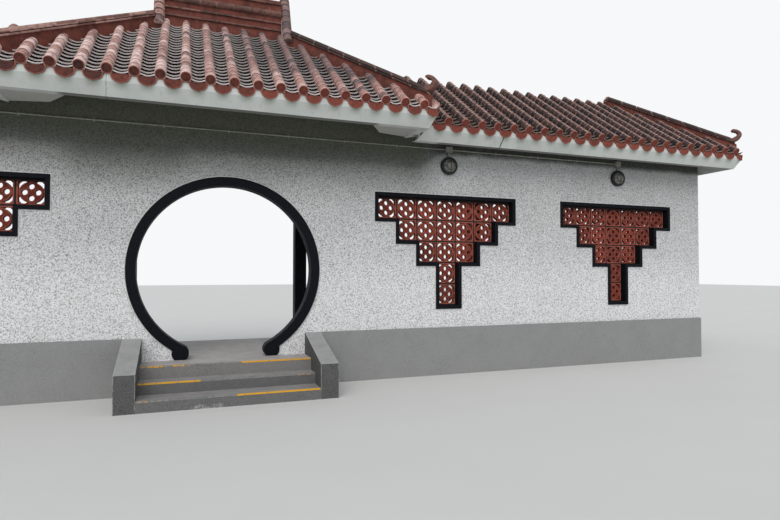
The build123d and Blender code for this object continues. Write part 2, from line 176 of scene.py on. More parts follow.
class Finish(Recipe):
    """A recipe that ends in a colour, a roughness and a relief."""

    def mix(self, amount, first, second):
        """first where amount is 0 and second where it is 1. Colours are sockets or triples."""
        node = self.tree.nodes.new("ShaderNodeMix")
        node.data_type = "RGBA"
        for name, value in (("Factor", amount), ("A", first), ("B", second)):
            socket = [socket for socket in node.inputs if socket.name == name and socket.enabled][0]
            if isinstance(value, tuple):
                socket.default_value = (*value, 1.0)
            else:
                self.link(value, socket)
        return [socket for socket in node.outputs if socket.enabled][0]

    def colour(self, source):
        self.link(source, self.shader.inputs["Base Color"])

    def roughness(self, amount, low, high):
        """Roughness runs from low to high with amount."""
        node = self.tree.nodes.new("ShaderNodeMapRange")
        node.inputs["To Min"].default_value = low
        node.inputs["To Max"].default_value = high
        self.link(amount, node.inputs["Value"])
        self.link(node.outputs["Result"], self.shader.inputs["Roughness"])

    def bump(self, height, distance, strength=1.0):
        """Relief of a given depth in metres. Several bumps add up."""
        node = self.tree.nodes.new("ShaderNodeBump")
        node.inputs["Distance"].default_value = distance
        node.inputs["Strength"].default_value = strength
        self.link(height, node.inputs["Height"])
        if self.bumped:
            self.link(self.bumped, node.inputs["Normal"])
        self.bumped = node.outputs["Normal"]
        self.link(self.bumped, self.shader.inputs["Normal"])


def dress(material, *names):
    """CAD nodes that keep their own shape take a finish on their material slots."""
    for name in names:
        mesh = nodes[name].data
        mesh.materials.clear()
        mesh.materials.append(material)
    print(material.name, "on", ", ".join(names))


# %% [markdown]
# ## Roughcast
# The wall is rendered with wet grit thrown on and painted white. Close up it is all small pits and
# grains. The pits are painted grey, for the dirt that sits in them and as painted shade in them, so
# the same noise drives the grey specks and the bump. Low down the wall is painted brightest and its
# pits palest: rain keeps it clean there, and painted light stands where the eaves shade it least.

# %% Roughcast, bright low down: washed by rain, and painted light
pit_tone = (0.13, 0.13, 0.125)
washed_and_lit_heights = (1.9, 1.1)

roughcast = Finish("roughcast", rough=0.92, specular=0.2)
grain = roughcast.noise(88.0, detail=3.0, rough=0.75)
# The pits are painted grey: dirt that sits in them, and painted shade in them.
pits = roughcast.mask(grain, 0.53, 0.36)
patches = roughcast.mask(roughcast.noise(1.3, detail=3.0), 0.3, 0.75)
clean = roughcast.mix(patches, (0.775, 0.775, 0.79), (0.71, 0.71, 0.725))
# Low down the colour is painted brighter: rain keeps it clean, and painted light where the eaves
# shade least.
washed_and_lit = roughcast.mask(roughcast.axis("Z"), *washed_and_lit_heights)
clean = roughcast.mix(roughcast.times(washed_and_lit, 0.8), clean, (0.90, 0.90, 0.915))
pit_share = roughcast.minus(0.6, roughcast.times(washed_and_lit, 0.15))
speckled = roughcast.mix(roughcast.times(pits, pit_share), clean, pit_tone)
print("roughcast, washed part:", len(roughcast.tree.nodes), "nodes")

# %% [markdown]
# Towards the top the wall is painted darker: dirt builds up where no rain washes it, and painted
# shade stands for the eaves' shade. The gate's bay, under the eave that reaches out furthest, is
# darker than the bays beside it, most of all left of the ring. A slow noise is added to the height,
# so that no line of darkening runs level.

# %% Roughcast, dirt and painted shade towards the top
dirt_and_shade_tone = (0.085, 0.09, 0.065)
gate_dirt_and_shade_heights = (2.25, 3.2)
bay_dirt_and_shade_heights = (2.0, 3.4)
low_dirt_and_shade_heights = (1.4, 2.4)
bay_change = (2.45, 2.95)
left_patch_x = -1.1

from_middle = roughcast.size(roughcast.axis("X"))
side_bay = roughcast.mask(from_middle, *bay_change)
wander = roughcast.times(roughcast.noise(2.2, detail=5.0), 0.10)
height = roughcast.plus(roughcast.minus(roughcast.axis("Z"), 0.05), wander)
# Towards the top the colour is painted darker: dirt, and painted shade of the eaves.
gate_dirt_and_shade = roughcast.times(roughcast.mask(height, *gate_dirt_and_shade_heights), 0.85)
bay_dirt_and_shade = roughcast.times(roughcast.mask(height, *bay_dirt_and_shade_heights), 0.20)
low_dirt_and_shade = roughcast.times(roughcast.mask(height, *low_dirt_and_shade_heights), 0.10)
gate_part = roughcast.times(roughcast.minus(1.0, side_bay), gate_dirt_and_shade)
both_parts = roughcast.plus(gate_part, roughcast.times(side_bay, bay_dirt_and_shade))
dirt_and_shade = roughcast.plus(both_parts, low_dirt_and_shade)
# Left of the ring it is painted darker still: dirt and painted shade.
off_patch = roughcast.size(roughcast.minus(roughcast.axis("X"), left_patch_x))
left_of_ring = roughcast.mask(off_patch, 0.85, 0.45)
fading = roughcast.times(roughcast.mask(height, 3.0, 2.8), 0.20)
left_dirt_and_shade = roughcast.times(roughcast.mask(height, 2.2, 2.6), fading)
dirt_and_shade = roughcast.plus(dirt_and_shade, roughcast.times(left_of_ring, left_dirt_and_shade))
dirty_and_shaded = roughcast.mix(dirt_and_shade, speckled, dirt_and_shade_tone)
print("dirt from", low_dirt_and_shade_heights[0], "m up")

# %% [markdown]
# Where no rain falls at all, the wall is olive grey, dirt together with the eaves' painted shadow,
# with a rather clear edge where the rain and the shadow start. That edge is lower in the gate's
# bay.
# Higher up in the gate's bay a lighter tone is painted in, painted light that evens out the shade
# there, and right under the side bays' eaves a darker one, painted shade. The pits are darkest,
# dirt and painted shade, and the raised grains stand out pale, a painted highlight. Last come the
# grit's relief and a few faint runs of water.

# %% Roughcast, under the eaves
dry_dirt_and_shadow_tone = (0.030, 0.033, 0.020)
painted_light_tone = (0.15, 0.155, 0.12)
shade_tone = (0.016, 0.018, 0.012)
eave_pit_tone = (0.02, 0.02, 0.015)
grain_highlight_tone = (0.19, 0.20, 0.165)
run_tone = (0.25, 0.25, 0.22)
rain_and_shadow_edge = (2.82, 2.93)
bay_edge_lift = 0.23
grit_depth = 0.007

# Above a rather clear edge the wall is painted olive grey: dirt, and the eaves' painted shadow.
edge_height = roughcast.minus(height, roughcast.times(side_bay, bay_edge_lift))
dark_share = roughcast.plus(roughcast.times(side_bay, 0.42), 0.33)
dry_dirt_and_shadow = roughcast.times(roughcast.mask(edge_height, *rain_and_shadow_edge), dark_share)
eave_dirt_and_shade = roughcast.mix(dry_dirt_and_shadow, dirty_and_shaded, dry_dirt_and_shadow_tone)
# Higher up a lighter tone is painted back in: painted light that evens out the shade there.
painted_light_top = roughcast.times(roughcast.mask(height, 2.9, 3.25), roughcast.minus(0.55, side_bay))
eave_dirt_and_shade = roughcast.mix(painted_light_top, eave_dirt_and_shade, painted_light_tone)
bay_shade = roughcast.times(side_bay, 0.6)
under_eave = roughcast.times(roughcast.mask(height, 3.06, 3.16), bay_shade)
eave_dirt_and_shade = roughcast.mix(under_eave, eave_dirt_and_shade, shade_tone)
# Pits under the eaves are painted darkest: dirt and painted shade.
eave_dirt_and_shade = roughcast.mix(roughcast.times(pits, 0.5), eave_dirt_and_shade, eave_pit_tone)
# The raised grains are painted pale: a painted highlight.
painted_grain_highlights = roughcast.times(roughcast.mask(grain, 0.52, 0.68), roughcast.mask(height, 2.8, 3.0))
eave_dirt_and_shade = roughcast.mix(roughcast.times(painted_grain_highlights, 0.35), eave_dirt_and_shade, grain_highlight_tone)
runs = roughcast.mask(roughcast.noise(1.0, place=roughcast.stretch((5.0, 5.0, 0.35))), 0.6, 0.8)
roughcast.colour(roughcast.mix(roughcast.times(runs, 0.12), eave_dirt_and_shade, run_tone))
roughcast.bump(grain, grit_depth, 0.9)
dress(roughcast.material, "gate_wall_left", "gate_wall_right", "wall_near_left", "wall_near_right",
      "wall_far_left", "wall_far_right")

# %% [markdown]
# ## Black paint
# The ring, the window frames and the columns are smooth render under old black gloss. It isn't
# quite black: a little blue, with the trowel's waves in the shine and specks of dust.

# %% Black paint finish
paint_black = (0.006, 0.007, 0.010)
paint_dust = (0.035, 0.035, 0.037)

black_paint = Finish("black_paint", rough=0.6, specular=0.07)
waves = black_paint.noise(9.0, detail=3.0)
dust = black_paint.mask(black_paint.noise(34.0, detail=5.0, rough=0.7), 0.52, 0.8)
black_paint.colour(black_paint.mix(black_paint.times(dust, 0.4), paint_black, paint_dust))
black_paint.roughness(waves, 0.5, 0.75)
black_paint.bump(waves, 0.004, 0.6)
black_paint.bump(black_paint.noise(160.0), 0.0008, 0.5)
dress(black_paint.material, "moon_gate_ring", "rear_columns", "rear_beam", "window_frame_far_left",
      "window_frame_near_left", "window_frame_near_right", "window_frame_far_right")

# %% [markdown]
# ## Grey render and concrete
# The plinth's dark render, the steps' worn concrete, the floor's lighter one and the slabs'
# undersides differ in tone and in how they are worn, so one recipe takes those as values. A slow
# noise clouds the grey, and a fine one gives it grit and relief.

# %% The grey recipe


def grey_finish(name, light, dark, spot, grain_depth, top_tone_worn_and_lit=None, splash=None, arris=()):
    """Cloudy grey. The tone for tops is the paler tone of what faces up, scraped and painted as lit
    from above, splash a place in X for spilt white, arris the distances from the middle of edges
    that are rubbed pale."""
    finish = Finish(name, rough=0.88, specular=0.25)
    cloud = finish.mask(finish.noise(3.2, detail=6.0, rough=0.62), 0.3, 0.7)
    base = finish.mix(cloud, light, dark)
    fine = finish.noise(140.0, detail=3.0, rough=0.7)
    gritty = finish.mix(finish.mask(fine, 0.62, 0.48), base, spot)
    grey = finish.mix(finish.times(finish.mask(fine, 0.45, 0.6), 0.35), gritty, dark)
    # Tops are painted paler: wear, and painted light from above.
    if top_tone_worn_and_lit:
        grey = paler_tops_worn_and_lit(finish, grey, top_tone_worn_and_lit)
    if splash is not None:
        grey = spilt_white(finish, grey, splash)
    for reach in arris:
        grey = rubbed_edge(finish, grey, reach)
    finish.colour(grey)
    finish.roughness(cloud, 0.75, 0.95)
    finish.bump(fine, grain_depth, 0.7)
    finish.bump(finish.noise(9.0), 0.002, 0.3)
    print(name, "nodes", len(finish.tree.nodes))
    return finish.material


# %% [markdown]
# Three marks come on top. What faces up is paler and cloudy: scraped, and painted lighter as lit
# from above. White paint was once spilt on the lowest step. And the long edges of the low walls
# beside the steps are rubbed pale, in chips: a thin band at a known distance from the middle,
# broken up by noise.

# %% Wear and painted light on grey
spilt_tone = (0.36, 0.36, 0.36)
rubbed_tone = (0.5, 0.5, 0.49)


def paler_tops_worn_and_lit(finish, grey, top_tone_worn_and_lit):
    """What faces up takes a paler, cloudy tone: scraped by wear, and painted light from above."""
    duller = tuple(0.82 * part for part in top_tone_worn_and_lit)
    cloud = finish.mask(finish.noise(5.0, detail=6.0, rough=0.65), 0.35, 0.7)
    return finish.mix(finish.facing("Z", 0.3, 0.8), grey, finish.mix(cloud, top_tone_worn_and_lit, duller))


def spilt_white(finish, grey, splash):
    """A broken white patch low down, around a place in X."""
    near = finish.mask(finish.size(finish.minus(finish.axis("X"), splash)), 0.42, 0.1)
    low_down = finish.mask(finish.axis("Z"), 0.12, 0.0)
    spilt = finish.times(finish.times(near, low_down), finish.noise(8.0, detail=7.0, rough=0.7))
    broken = finish.times(finish.mask(spilt, 0.35, 0.45),
                          finish.mask(finish.noise(45.0), 0.35, 0.6))
    return finish.mix(finish.times(broken, 0.8), grey, spilt_tone)


def rubbed_edge(finish, grey, reach):
    """Pale chips on the top and the front of an edge, at a distance from the middle."""
    off = finish.size(finish.minus(finish.size(finish.axis("X")), reach))
    outer_face = finish.most(finish.facing("Z", 0.3, 0.8), finish.facing("Y", -0.3, -0.8))
    chips = finish.times(finish.mask(finish.noise(17.0, detail=4.0), 0.38, 0.60), outer_face)
    rubbed = finish.times(finish.mask(off, 0.010, 0.003), chips)
    return finish.mix(finish.times(rubbed, 0.55), grey, rubbed_tone)


# %% [markdown]
# A grey is then one call: the tones of its clouds and its grit, the depth of its grain, and its
# wear, with painted light on its tops. The two lower steps are of like concrete, but only the
# lowest has the spilt white, so each has a finish of its own.

# %% Grey finishes
plinth_grey = grey_finish("plinth_grey", (0.27, 0.27, 0.275), (0.18, 0.18, 0.185),
                          (0.31, 0.31, 0.31), 0.004)
step_grey = grey_finish("step_grey", (0.135, 0.133, 0.132), (0.072, 0.073, 0.076),
                        (0.16, 0.16, 0.16), 0.002, top_tone_worn_and_lit=(0.33, 0.32, 0.32))
foot_grey = grey_finish("foot_grey", (0.14, 0.14, 0.14), (0.08, 0.08, 0.082),
                        (0.17, 0.17, 0.17), 0.002, top_tone_worn_and_lit=(0.31, 0.30, 0.30), splash=-0.25)
floor_grey = grey_finish("floor_grey", (0.20, 0.195, 0.19), (0.14, 0.14, 0.138),
                         (0.24, 0.23, 0.23), 0.0015, top_tone_worn_and_lit=(0.475, 0.455, 0.45))
# The low walls' upright faces are painted darker as shade, and their tops paler as lit.
cheek_grey = grey_finish("cheek_grey", (0.080, 0.079, 0.079), (0.043, 0.043, 0.044),
                         (0.12, 0.12, 0.12), 0.002, top_tone_worn_and_lit=(0.37, 0.37, 0.375),
                         arris=(0.955, 1.161))
soffit_grey = grey_finish("soffit_grey", (0.40, 0.41, 0.37), (0.30, 0.31, 0.28),
                          (0.43, 0.43, 0.40), 0.0015)
dress(plinth_grey, "plinth")
dress(step_grey, "middle_step")
dress(cheek_grey, "cheek_wall_left", "cheek_wall_right")
dress(foot_grey, "lower_step")
dress(floor_grey, "floor_slab", "landing")
dress(soffit_grey, "high_roof_slab", "low_roof_slab_left", "low_roof_slab_right",
      "corner_soffits")

# %% [markdown]
# ## Fascia paint
# Smooth render painted a pale grey green. Rain and roof dirt run down it from the tiles above, so
# the streaks are noise stretched tall, and under each trough of tiles a darker patch starts, a drip
# stain with painted shade under the apron: the distance to the middle of a trough, from X divided
# by the width of a row, makes those.

# %% Fascia finish
tile_row = 0.25
streak_tone = (0.28, 0.29, 0.25)
drip_stain_and_shade_tone = (0.22, 0.24, 0.17)
low_eave_drop = 0.075

fascia_paint = Finish("fascia_paint", rough=0.7, specular=0.3)
blotch = fascia_paint.mask(fascia_paint.noise(2.4, detail=5.0), 0.35, 0.75)
pale = fascia_paint.mix(blotch, (0.60, 0.62, 0.60), (0.50, 0.52, 0.50))
tall = fascia_paint.stretch((22.0, 22.0, 1.2))
streaks = fascia_paint.mask(fascia_paint.noise(1.0, detail=4.0, place=tall), 0.55, 0.8)
streaked = fascia_paint.mix(fascia_paint.times(streaks, 0.4), pale, streak_tone)
rows_along = fascia_paint.maths("DIVIDE", fascia_paint.axis("X"), tile_row)
row_share = fascia_paint.maths("FRACT", rows_along, 0.0)
off_row = fascia_paint.size(fascia_paint.minus(row_share, 0.5))
low_part = fascia_paint.mask(fascia_paint.size(fascia_paint.axis("X")), 2.40, 2.46)
below_tiles = fascia_paint.plus(fascia_paint.axis("Z"), fascia_paint.times(low_part, low_eave_drop))
# Under each apron the fascia is painted darker: a drip stain, and painted shade of the apron.
drip_stains_and_shade = fascia_paint.times(fascia_paint.mask(off_row, 0.40, 0.08),
                           fascia_paint.mask(below_tiles, 3.27, 3.36))
streaked = fascia_paint.mix(fascia_paint.times(drip_stains_and_shade, 0.6), streaked, drip_stain_and_shade_tone)
print("fascia stains every", tile_row, "m")

# %% [markdown]
# It has cracked in three places: hair fine over the gate, wider where the tall roof's corner bears
# on the low roof, and once along the right bays. A crack is a thin band around an upright line
# that a noise sets wandering. The fascia's underside, away from the tall roof's corners, is painted
# dark as shade.

# %% Fascia cracks, and painted shade on the underside
crack_tone = (0.03, 0.028, 0.02)
underside_shade_tone = (0.075, 0.08, 0.06)


def crack(paint, x, z, lean, width):
    """A wandering upright line through X and Z, so wide, on the side that faces the garden."""
    wander = paint.times(paint.minus(paint.noise(30.0, detail=4.0), 0.5), 0.03)
    shift = paint.times(paint.minus(paint.axis("Z"), z), lean)
    across = paint.minus(paint.minus(paint.axis("X"), x), paint.plus(shift, wander))
    line = paint.mask(paint.size(across), width, width * 0.3)
    return paint.times(line, paint.mask(paint.axis("Y"), -0.2, -0.4))


hairline = fascia_paint.times(crack(fascia_paint, -1.262, 3.25, 0.05, 0.004), 0.6)
ragged = fascia_paint.mask(fascia_paint.noise(19.0, detail=5.0), 0.42, 0.52)
gaping = fascia_paint.times(crack(fascia_paint, 2.40, 3.26, 0.82, 0.026), ragged)
split_open = fascia_paint.most(crack(fascia_paint, 3.60, 3.26, 0.2, 0.011), gaping)
fascia_middle = fascia_paint.size(fascia_paint.axis("X"))
off_corner = fascia_paint.most(fascia_paint.mask(fascia_middle, 1.75, 1.65),
                               fascia_paint.mask(fascia_middle, 2.6, 2.7))
# The underside is painted dark as shade.
underside_shade = fascia_paint.times(fascia_paint.times(off_corner, 0.75),
                               fascia_paint.facing("Z", -0.5, -0.9))
streaked = fascia_paint.mix(underside_shade, streaked, underside_shade_tone)
fascia_paint.colour(fascia_paint.mix(fascia_paint.most(hairline, split_open), streaked, crack_tone))
fascia_paint.bump(fascia_paint.noise(45.0, detail=4.0), 0.0012, 0.6)
dress(fascia_paint.material, "high_fascia", "low_fascia_left", "low_fascia_right")

# %% [markdown]
# ## Fired clay
# Tiles and blocks are the same red clay, but no two tiles fire alike and years on a roof grey
# them. Each tile's mesh carries its own tone, a number from 0 to 1, and the finish turns that
# number into a colour between pale pink and purple brown.

# %% The clay recipe


def clay_finish(name, pale, mid, dark, soot_and_shade, sooty, rim, bare, whole=0.3, lit_crown=None, soot_and_shadow_head=None,
                right_half=None):
    """Pale, mid and dark are the tones of the clay, then the grime's tone and sooty its share; that
    tone is also painted as shade in laps and under an opening's top. Rim is the colour of edges,
    rubbed by wear and partly painted highlight, bare its share and whole how broken they are: 0.3
    leaves gaps, -0.1 hardly any. The upward side's tone is painted on as sky light; then comes a
    height near which grime and painted shadow darken the clay, and a tone of the roof's right
    half: (colour, share, start, full)."""
    finish = Finish(name, rough=0.85, specular=0.25)
    tone = finish.own("tone")
    first = finish.mix(finish.mask(tone, 0.0, 0.5), pale, mid)
    body = finish.mix(finish.mask(tone, 0.5, 1.0), first, dark)
    weather = finish.mask(finish.noise(16.0, detail=6.0, rough=0.65), 0.42, 0.68)
    grimed = finish.mix(finish.times(weather, sooty), body, soot_and_shade)
    flecks = finish.mask(finish.noise(120.0, detail=2.0), 0.62, 0.75)
    clay = finish.mix(finish.times(flecks, 0.35), grimed, pale)
    # The upward side is painted pale, as painted sky light on the crown.
    if lit_crown:
        lightened = finish.times(finish.facing("Z", 0.66, 0.86),
                                finish.mask(finish.noise(30.0), 0.3, 0.6))
        clay = finish.mix(finish.times(lightened, 0.75), clay, lit_crown)
    # Corners deep in a lap are painted dark: grime, and painted shade under the tile above.
    clay = finish.mix(finish.times(finish.mask(finish.own("edge"), -0.05, -0.9), 0.85), clay, soot_and_shade)
    # Near the head of an opening the clay is painted dark: soot, and painted shadow under it.
    if soot_and_shadow_head:
        clay = finish.mix(finish.mask(finish.axis("Z"), soot_and_shadow_head - 0.07, soot_and_shadow_head - 0.015), clay, soot_and_shade)
    # Edges are painted pale: wear, and a painted highlight where light catches them.
    unbroken = finish.mask(finish.noise(28.0, detail=3.0), whole, whole + 0.3)
    worn_and_lit_edges = finish.times(finish.own("edge"), unbroken)
    if soot_and_shadow_head:
        worn_and_lit_edges = finish.times(worn_and_lit_edges, finish.mask(finish.axis("Z"), soot_and_shadow_head - 0.01, soot_and_shadow_head - 0.06))
    clay = finish.mix(finish.times(worn_and_lit_edges, bare), clay, rim)
    # High on the roof's right half the tiles are painted darker as shade; discs there get a more
    # orange tone.
    if right_half:
        right_tone, right_share, right_start, right_full = right_half
        high_right = finish.times(finish.mask(finish.axis("Z"), right_start, right_full),
                                  finish.mask(finish.axis("X"), -0.7, 0.9))
        clay = finish.mix(finish.times(high_right, right_share), clay, right_tone)
    finish.colour(clay)
    finish.bump(finish.noise(70.0, detail=4.0), 0.0018, 0.6)
    print(name, "nodes", len(finish.tree.nodes))
    return finish.material


# %% [markdown]
# The tall roof's tiles are the pinkest; high on its right half they are painted darker, as shade.
# The low roofs' are nearly black, from dirt and painted shade, with each cover's crown painted
# pale as lit by the sky. The trough tiles are dishes painted nearly black as shade, with bright
# front edges, worn and painted highlight. Discs, ridges and blocks each have a red of their own.
# In the windows, the blocks are painted dark under the head of each opening: soot, and painted
# shadow.

# %% Clay finishes
tile_clay = clay_finish("tile_clay", (0.84, 0.60, 0.56), (0.50, 0.27, 0.235), (0.13, 0.095, 0.10),
                        (0.050, 0.037, 0.037), 0.55, rim=(0.84, 0.65, 0.59), bare=0.8,
                        right_half=((0.12, 0.087, 0.093), 0.65, 3.6, 4.1))
# The low roofs' covers: dirt and painted shade on the flanks, with a painted lit crown.
dark_shaded_old_tile_clay = clay_finish("dark_shaded_old_tile_clay", (0.155, 0.088, 0.076), (0.070, 0.042, 0.040),
                            (0.032, 0.026, 0.029), (0.014, 0.013, 0.014), 0.65,
                            rim=(0.48, 0.28, 0.23), bare=1.0, lit_crown=(0.60, 0.37, 0.33))
# The trough dishes are painted nearly black as shade, their rims near white as painted highlight.
dark_shaded_pan_clay = clay_finish("dark_shaded_pan_clay", (0.060, 0.048, 0.044), (0.032, 0.025, 0.023),
                       (0.017, 0.014, 0.014), (0.008, 0.007, 0.007), 0.5,
                       rim=(0.93, 0.85, 0.83), bare=1.0, whole=-0.1,
                       right_half=((0.035, 0.030, 0.030), 0.45, 3.6, 4.1))
# The low roofs' troughs: dirt and painted shade, with rims partly painted highlight.
dark_shaded_old_pan_clay = clay_finish("dark_shaded_old_pan_clay", (0.075, 0.055, 0.048), (0.042, 0.033, 0.030),
                           (0.025, 0.021, 0.020), (0.010, 0.009, 0.009), 0.5,
                           rim=(0.34, 0.25, 0.22), bare=0.9, whole=0.15)
end_clay = clay_finish("end_clay", (0.25, 0.072, 0.050), (0.15, 0.045, 0.034),
                       (0.075, 0.030, 0.027), (0.035, 0.022, 0.021), 0.65,
                       rim=(0.34, 0.125, 0.095), bare=0.75, whole=0.1,
                       right_half=((0.34, 0.078, 0.050), 0.3, 3.0, 3.2))
hip_clay = clay_finish("hip_clay", (0.44, 0.26, 0.22), (0.19, 0.09, 0.075), (0.050, 0.038, 0.037),
                       (0.028, 0.024, 0.023), 0.65, rim=(0.46, 0.29, 0.24), bare=0.8)
block_clay = clay_finish("block_clay", (0.29, 0.050, 0.031), (0.18, 0.034, 0.022),
                         (0.10, 0.022, 0.017), (0.026, 0.014, 0.012), 0.5,
                         rim=(0.46, 0.14, 0.10), bare=0.75,
                         soot_and_shadow_head=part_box("block_screen_near_right")[1][2])

# %% [markdown]
# ## Ridge plaster
# The ridges are plastered and coloured dark red. The faces keep their red; tops and ledges, where
# water stands, are nearly black. The mesh carries no number for that, so the way that the surface
# faces stands in for it: what faces up is dark. Dents and scuffs come from the bump.

# %% Ridge finish
ridge_black = (0.035, 0.027, 0.025)
ridge_top = (0.05, 0.042, 0.04)
ridge_bleached = (0.30, 0.16, 0.13)

ridge_plaster = Finish("ridge_plaster", rough=0.9, specular=0.2)
upward = ridge_plaster.facing("Z", 0.25, 0.8)
mottle = ridge_plaster.noise(9.0, detail=6.0, rough=0.65)
mottled = ridge_plaster.mask(mottle, 0.35, 0.7)
red = ridge_plaster.mix(mottled, (0.20, 0.062, 0.045), (0.11, 0.038, 0.032))
pale_spots = ridge_plaster.mask(ridge_plaster.noise(23.0, detail=5.0), 0.6, 0.8)
lightened = ridge_plaster.mix(pale_spots, red, ridge_bleached)
streaky = ridge_plaster.noise(1.0, detail=5.0, place=ridge_plaster.stretch((14.0, 14.0, 1.1)))
black_share = ridge_plaster.times(ridge_plaster.mask(streaky, 0.5, 0.72), 0.6)
blackened = ridge_plaster.mix(black_share, lightened, ridge_black)
ridge_plaster.colour(ridge_plaster.mix(ridge_plaster.times(upward, 0.8), blackened, ridge_top))
ridge_plaster.bump(mottle, 0.006, 0.5)
ridge_plaster.bump(ridge_plaster.noise(80.0, detail=4.0), 0.002, 0.6)
print("ridge plaster nodes", len(ridge_plaster.tree.nodes))

# %% [markdown]
# The fins that end the main ridge are whitewashed on their flat cheeks and red on their edges.
# Their cheeks face along X, so the normal tells them apart too.

# %% Fin finish
fin_plaster = Finish("fin_plaster", rough=0.9, specular=0.2)
sideways = fin_plaster.most(fin_plaster.facing("X", 0.85, 0.98),
                            fin_plaster.facing("X", -0.85, -0.98))
cloudy = fin_plaster.noise(7.0, detail=5.0, rough=0.6)
wash = fin_plaster.mix(fin_plaster.mask(cloudy, 0.35, 0.7), (0.62, 0.63, 0.62),
                       (0.36, 0.37, 0.34))
edge_red = fin_plaster.mix(fin_plaster.mask(cloudy, 0.3, 0.7), (0.20, 0.065, 0.048),
                           (0.09, 0.035, 0.03))
fin_plaster.colour(fin_plaster.mix(sideways, edge_red, wash))
fin_plaster.bump(cloudy, 0.006, 0.5)
fin_plaster.bump(fin_plaster.noise(90.0, detail=4.0), 0.0015, 0.6)
print("fin plaster nodes", len(fin_plaster.tree.nodes))

# %% [markdown]
# ## Lamp metal, lamp glass and plastic
# Small things, but they catch the eye on a blank wall: black enamel, ribbed white glass with dust
# in it, and sun-greyed plastic.

# %% Lamp finishes
lamp_metal = Finish("lamp_metal", rough=0.45, specular=0.5)
lamp_metal.shader.inputs["Metallic"].default_value = 0.3
scuffs = lamp_metal.mask(lamp_metal.noise(130.0, detail=4.0), 0.55, 0.75)
lamp_metal.colour(lamp_metal.mix(scuffs, (0.012, 0.012, 0.013), (0.06, 0.055, 0.05)))
lamp_metal.bump(lamp_metal.noise(90.0), 0.0006, 0.5)

lamp_glass = Finish("lamp_glass", rough=0.25, specular=0.5)
haze = lamp_glass.mask(lamp_glass.noise(25.0, detail=4.0), 0.3, 0.8)
lamp_glass.colour(lamp_glass.mix(haze, (0.20, 0.20, 0.175), (0.10, 0.10, 0.088)))
lamp_glass.bump(lamp_glass.noise(60.0), 0.001, 0.4)

grey_plastic = Finish("grey_plastic", rough=0.6, specular=0.35)
fade = grey_plastic.mask(grey_plastic.noise(18.0, detail=4.0), 0.35, 0.75)
grey_plastic.colour(grey_plastic.mix(fade, (0.26, 0.265, 0.22), (0.17, 0.175, 0.145)))
grey_plastic.bump(grey_plastic.noise(120.0), 0.0005, 0.4)
print("made", lamp_metal.material.name, lamp_glass.material.name, grey_plastic.material.name)

# %% [markdown]
# ## A pile of small shapes
# A roof has thousands of tiles. One object each would choke the file, so the corners and faces of
# like tiles go on one pile, which becomes a single mesh. The pile also keeps each tile's tone.

# %% The pile


class Pile:
    """Corners, faces and tones of many small closed shapes, to become one mesh. An edge value of
    1 marks corners on a pale edge, from wear and painted highlight, and -1 corners deep in a lap,
    painted dark for grime and painted shade."""

    def __init__(self):
        self.corners = []
        self.faces = []
        self.tones = []
        self.edges = []
        self.count = 0

    def add(self, corners, faces, tone, edges=None):
        self.corners.append(np.asarray(corners, dtype=float))
        self.faces.extend([tuple(index + self.count for index in face) for face in faces])
        self.tones.append(np.broadcast_to(tone, len(corners)))
        self.edges.append(np.zeros(len(corners)) if edges is None
                          else np.asarray(edges, dtype=float))
        self.count += len(corners)

    def mesh(self, name, cuts=(), sharp=40.0):
        """The pile as a mesh. Each cut is a point and a direction: what lies that way goes. Faces
        that meet at more than sharp degrees get a hard edge."""
        mesh = bpy.data.meshes.new(name)
        mesh.from_pydata(np.concatenate(self.corners).tolist(), [], self.faces)
        for label, values in (("tone", self.tones), ("edge", self.edges)):
            numbers = mesh.attributes.new(label, "FLOAT", "POINT")
            numbers.data.foreach_set("value", np.concatenate(values))
        edit = bmesh.new()
        edit.from_mesh(mesh)
        for point, direction in cuts:
            everything = edit.verts[:] + edit.edges[:] + edit.faces[:]
            cut = bmesh.ops.bisect_plane(edit, geom=everything, plane_co=point,
                                         plane_no=direction, clear_outer=True)
            rims = [part for part in cut["geom_cut"] if isinstance(part, bmesh.types.BMEdge)]
            bmesh.ops.holes_fill(edit, edges=rims)
        bmesh.ops.recalc_face_normals(edit, faces=edit.faces)
        edit.to_mesh(mesh)
        edit.free()
        mesh.polygons.foreach_set("use_smooth", [True] * len(mesh.polygons))
        mesh.set_sharp_from_angle(angle=math.radians(sharp))
        return mesh


def place_piece(name, pile, material, slot, *stands_for, cuts=(), sharp=40.0):
    """Makes a pile the mesh of a piece and puts it in the scene, for CAD nodes it stands for."""
    mesh = pile.mesh(name, cuts, sharp)
    piece = bpy.data.objects.new(name, mesh)
    bpy.context.scene.collection.objects.link(piece)
    mesh.materials.clear()
    mesh.materials.append(material)
    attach(piece, "root")
    if stands_for:
        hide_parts(*stands_for)
    print(name, "faces", len(mesh.polygons))


print("a new pile holds", Pile().count, "corners")

# %% [markdown]
# ## The roof as flat slopes
# Both roofs are hipped: four flat slopes each, one pitch per roof. On a slope it is easiest to
# think in three numbers: how far up from the eave, how far along it, and how high above the line
# through the round tiles' middles. A slope turns those three into a place in the model.

# %% Slopes


class Slope:
    """One slope of a roof: outward is the way it faces in plan, start the plan distance from the
    middle of the model to the eave."""

    def __init__(self, outward, start, eave_z, pitch):
        cos, sin = math.cos(math.radians(pitch)), math.sin(math.radians(pitch))
        self.out = np.array([*outward, 0.0])
        self.up = np.array([-outward[0] * cos, -outward[1] * cos, sin])
        self.face = np.array([outward[0] * sin, outward[1] * sin, cos])
        self.along = np.cross(self.up, self.face)
        self.corner = self.out * start + np.array([0.0, 0.0, eave_z])

    def place(self, local):
        """Local rows of (up the slope, along the eave, above the tile line) in the model."""
        local = np.asarray(local)
        return (self.corner + local[:, :1] * self.up + local[:, 1:2] * self.along
                + local[:, 2:] * self.face)


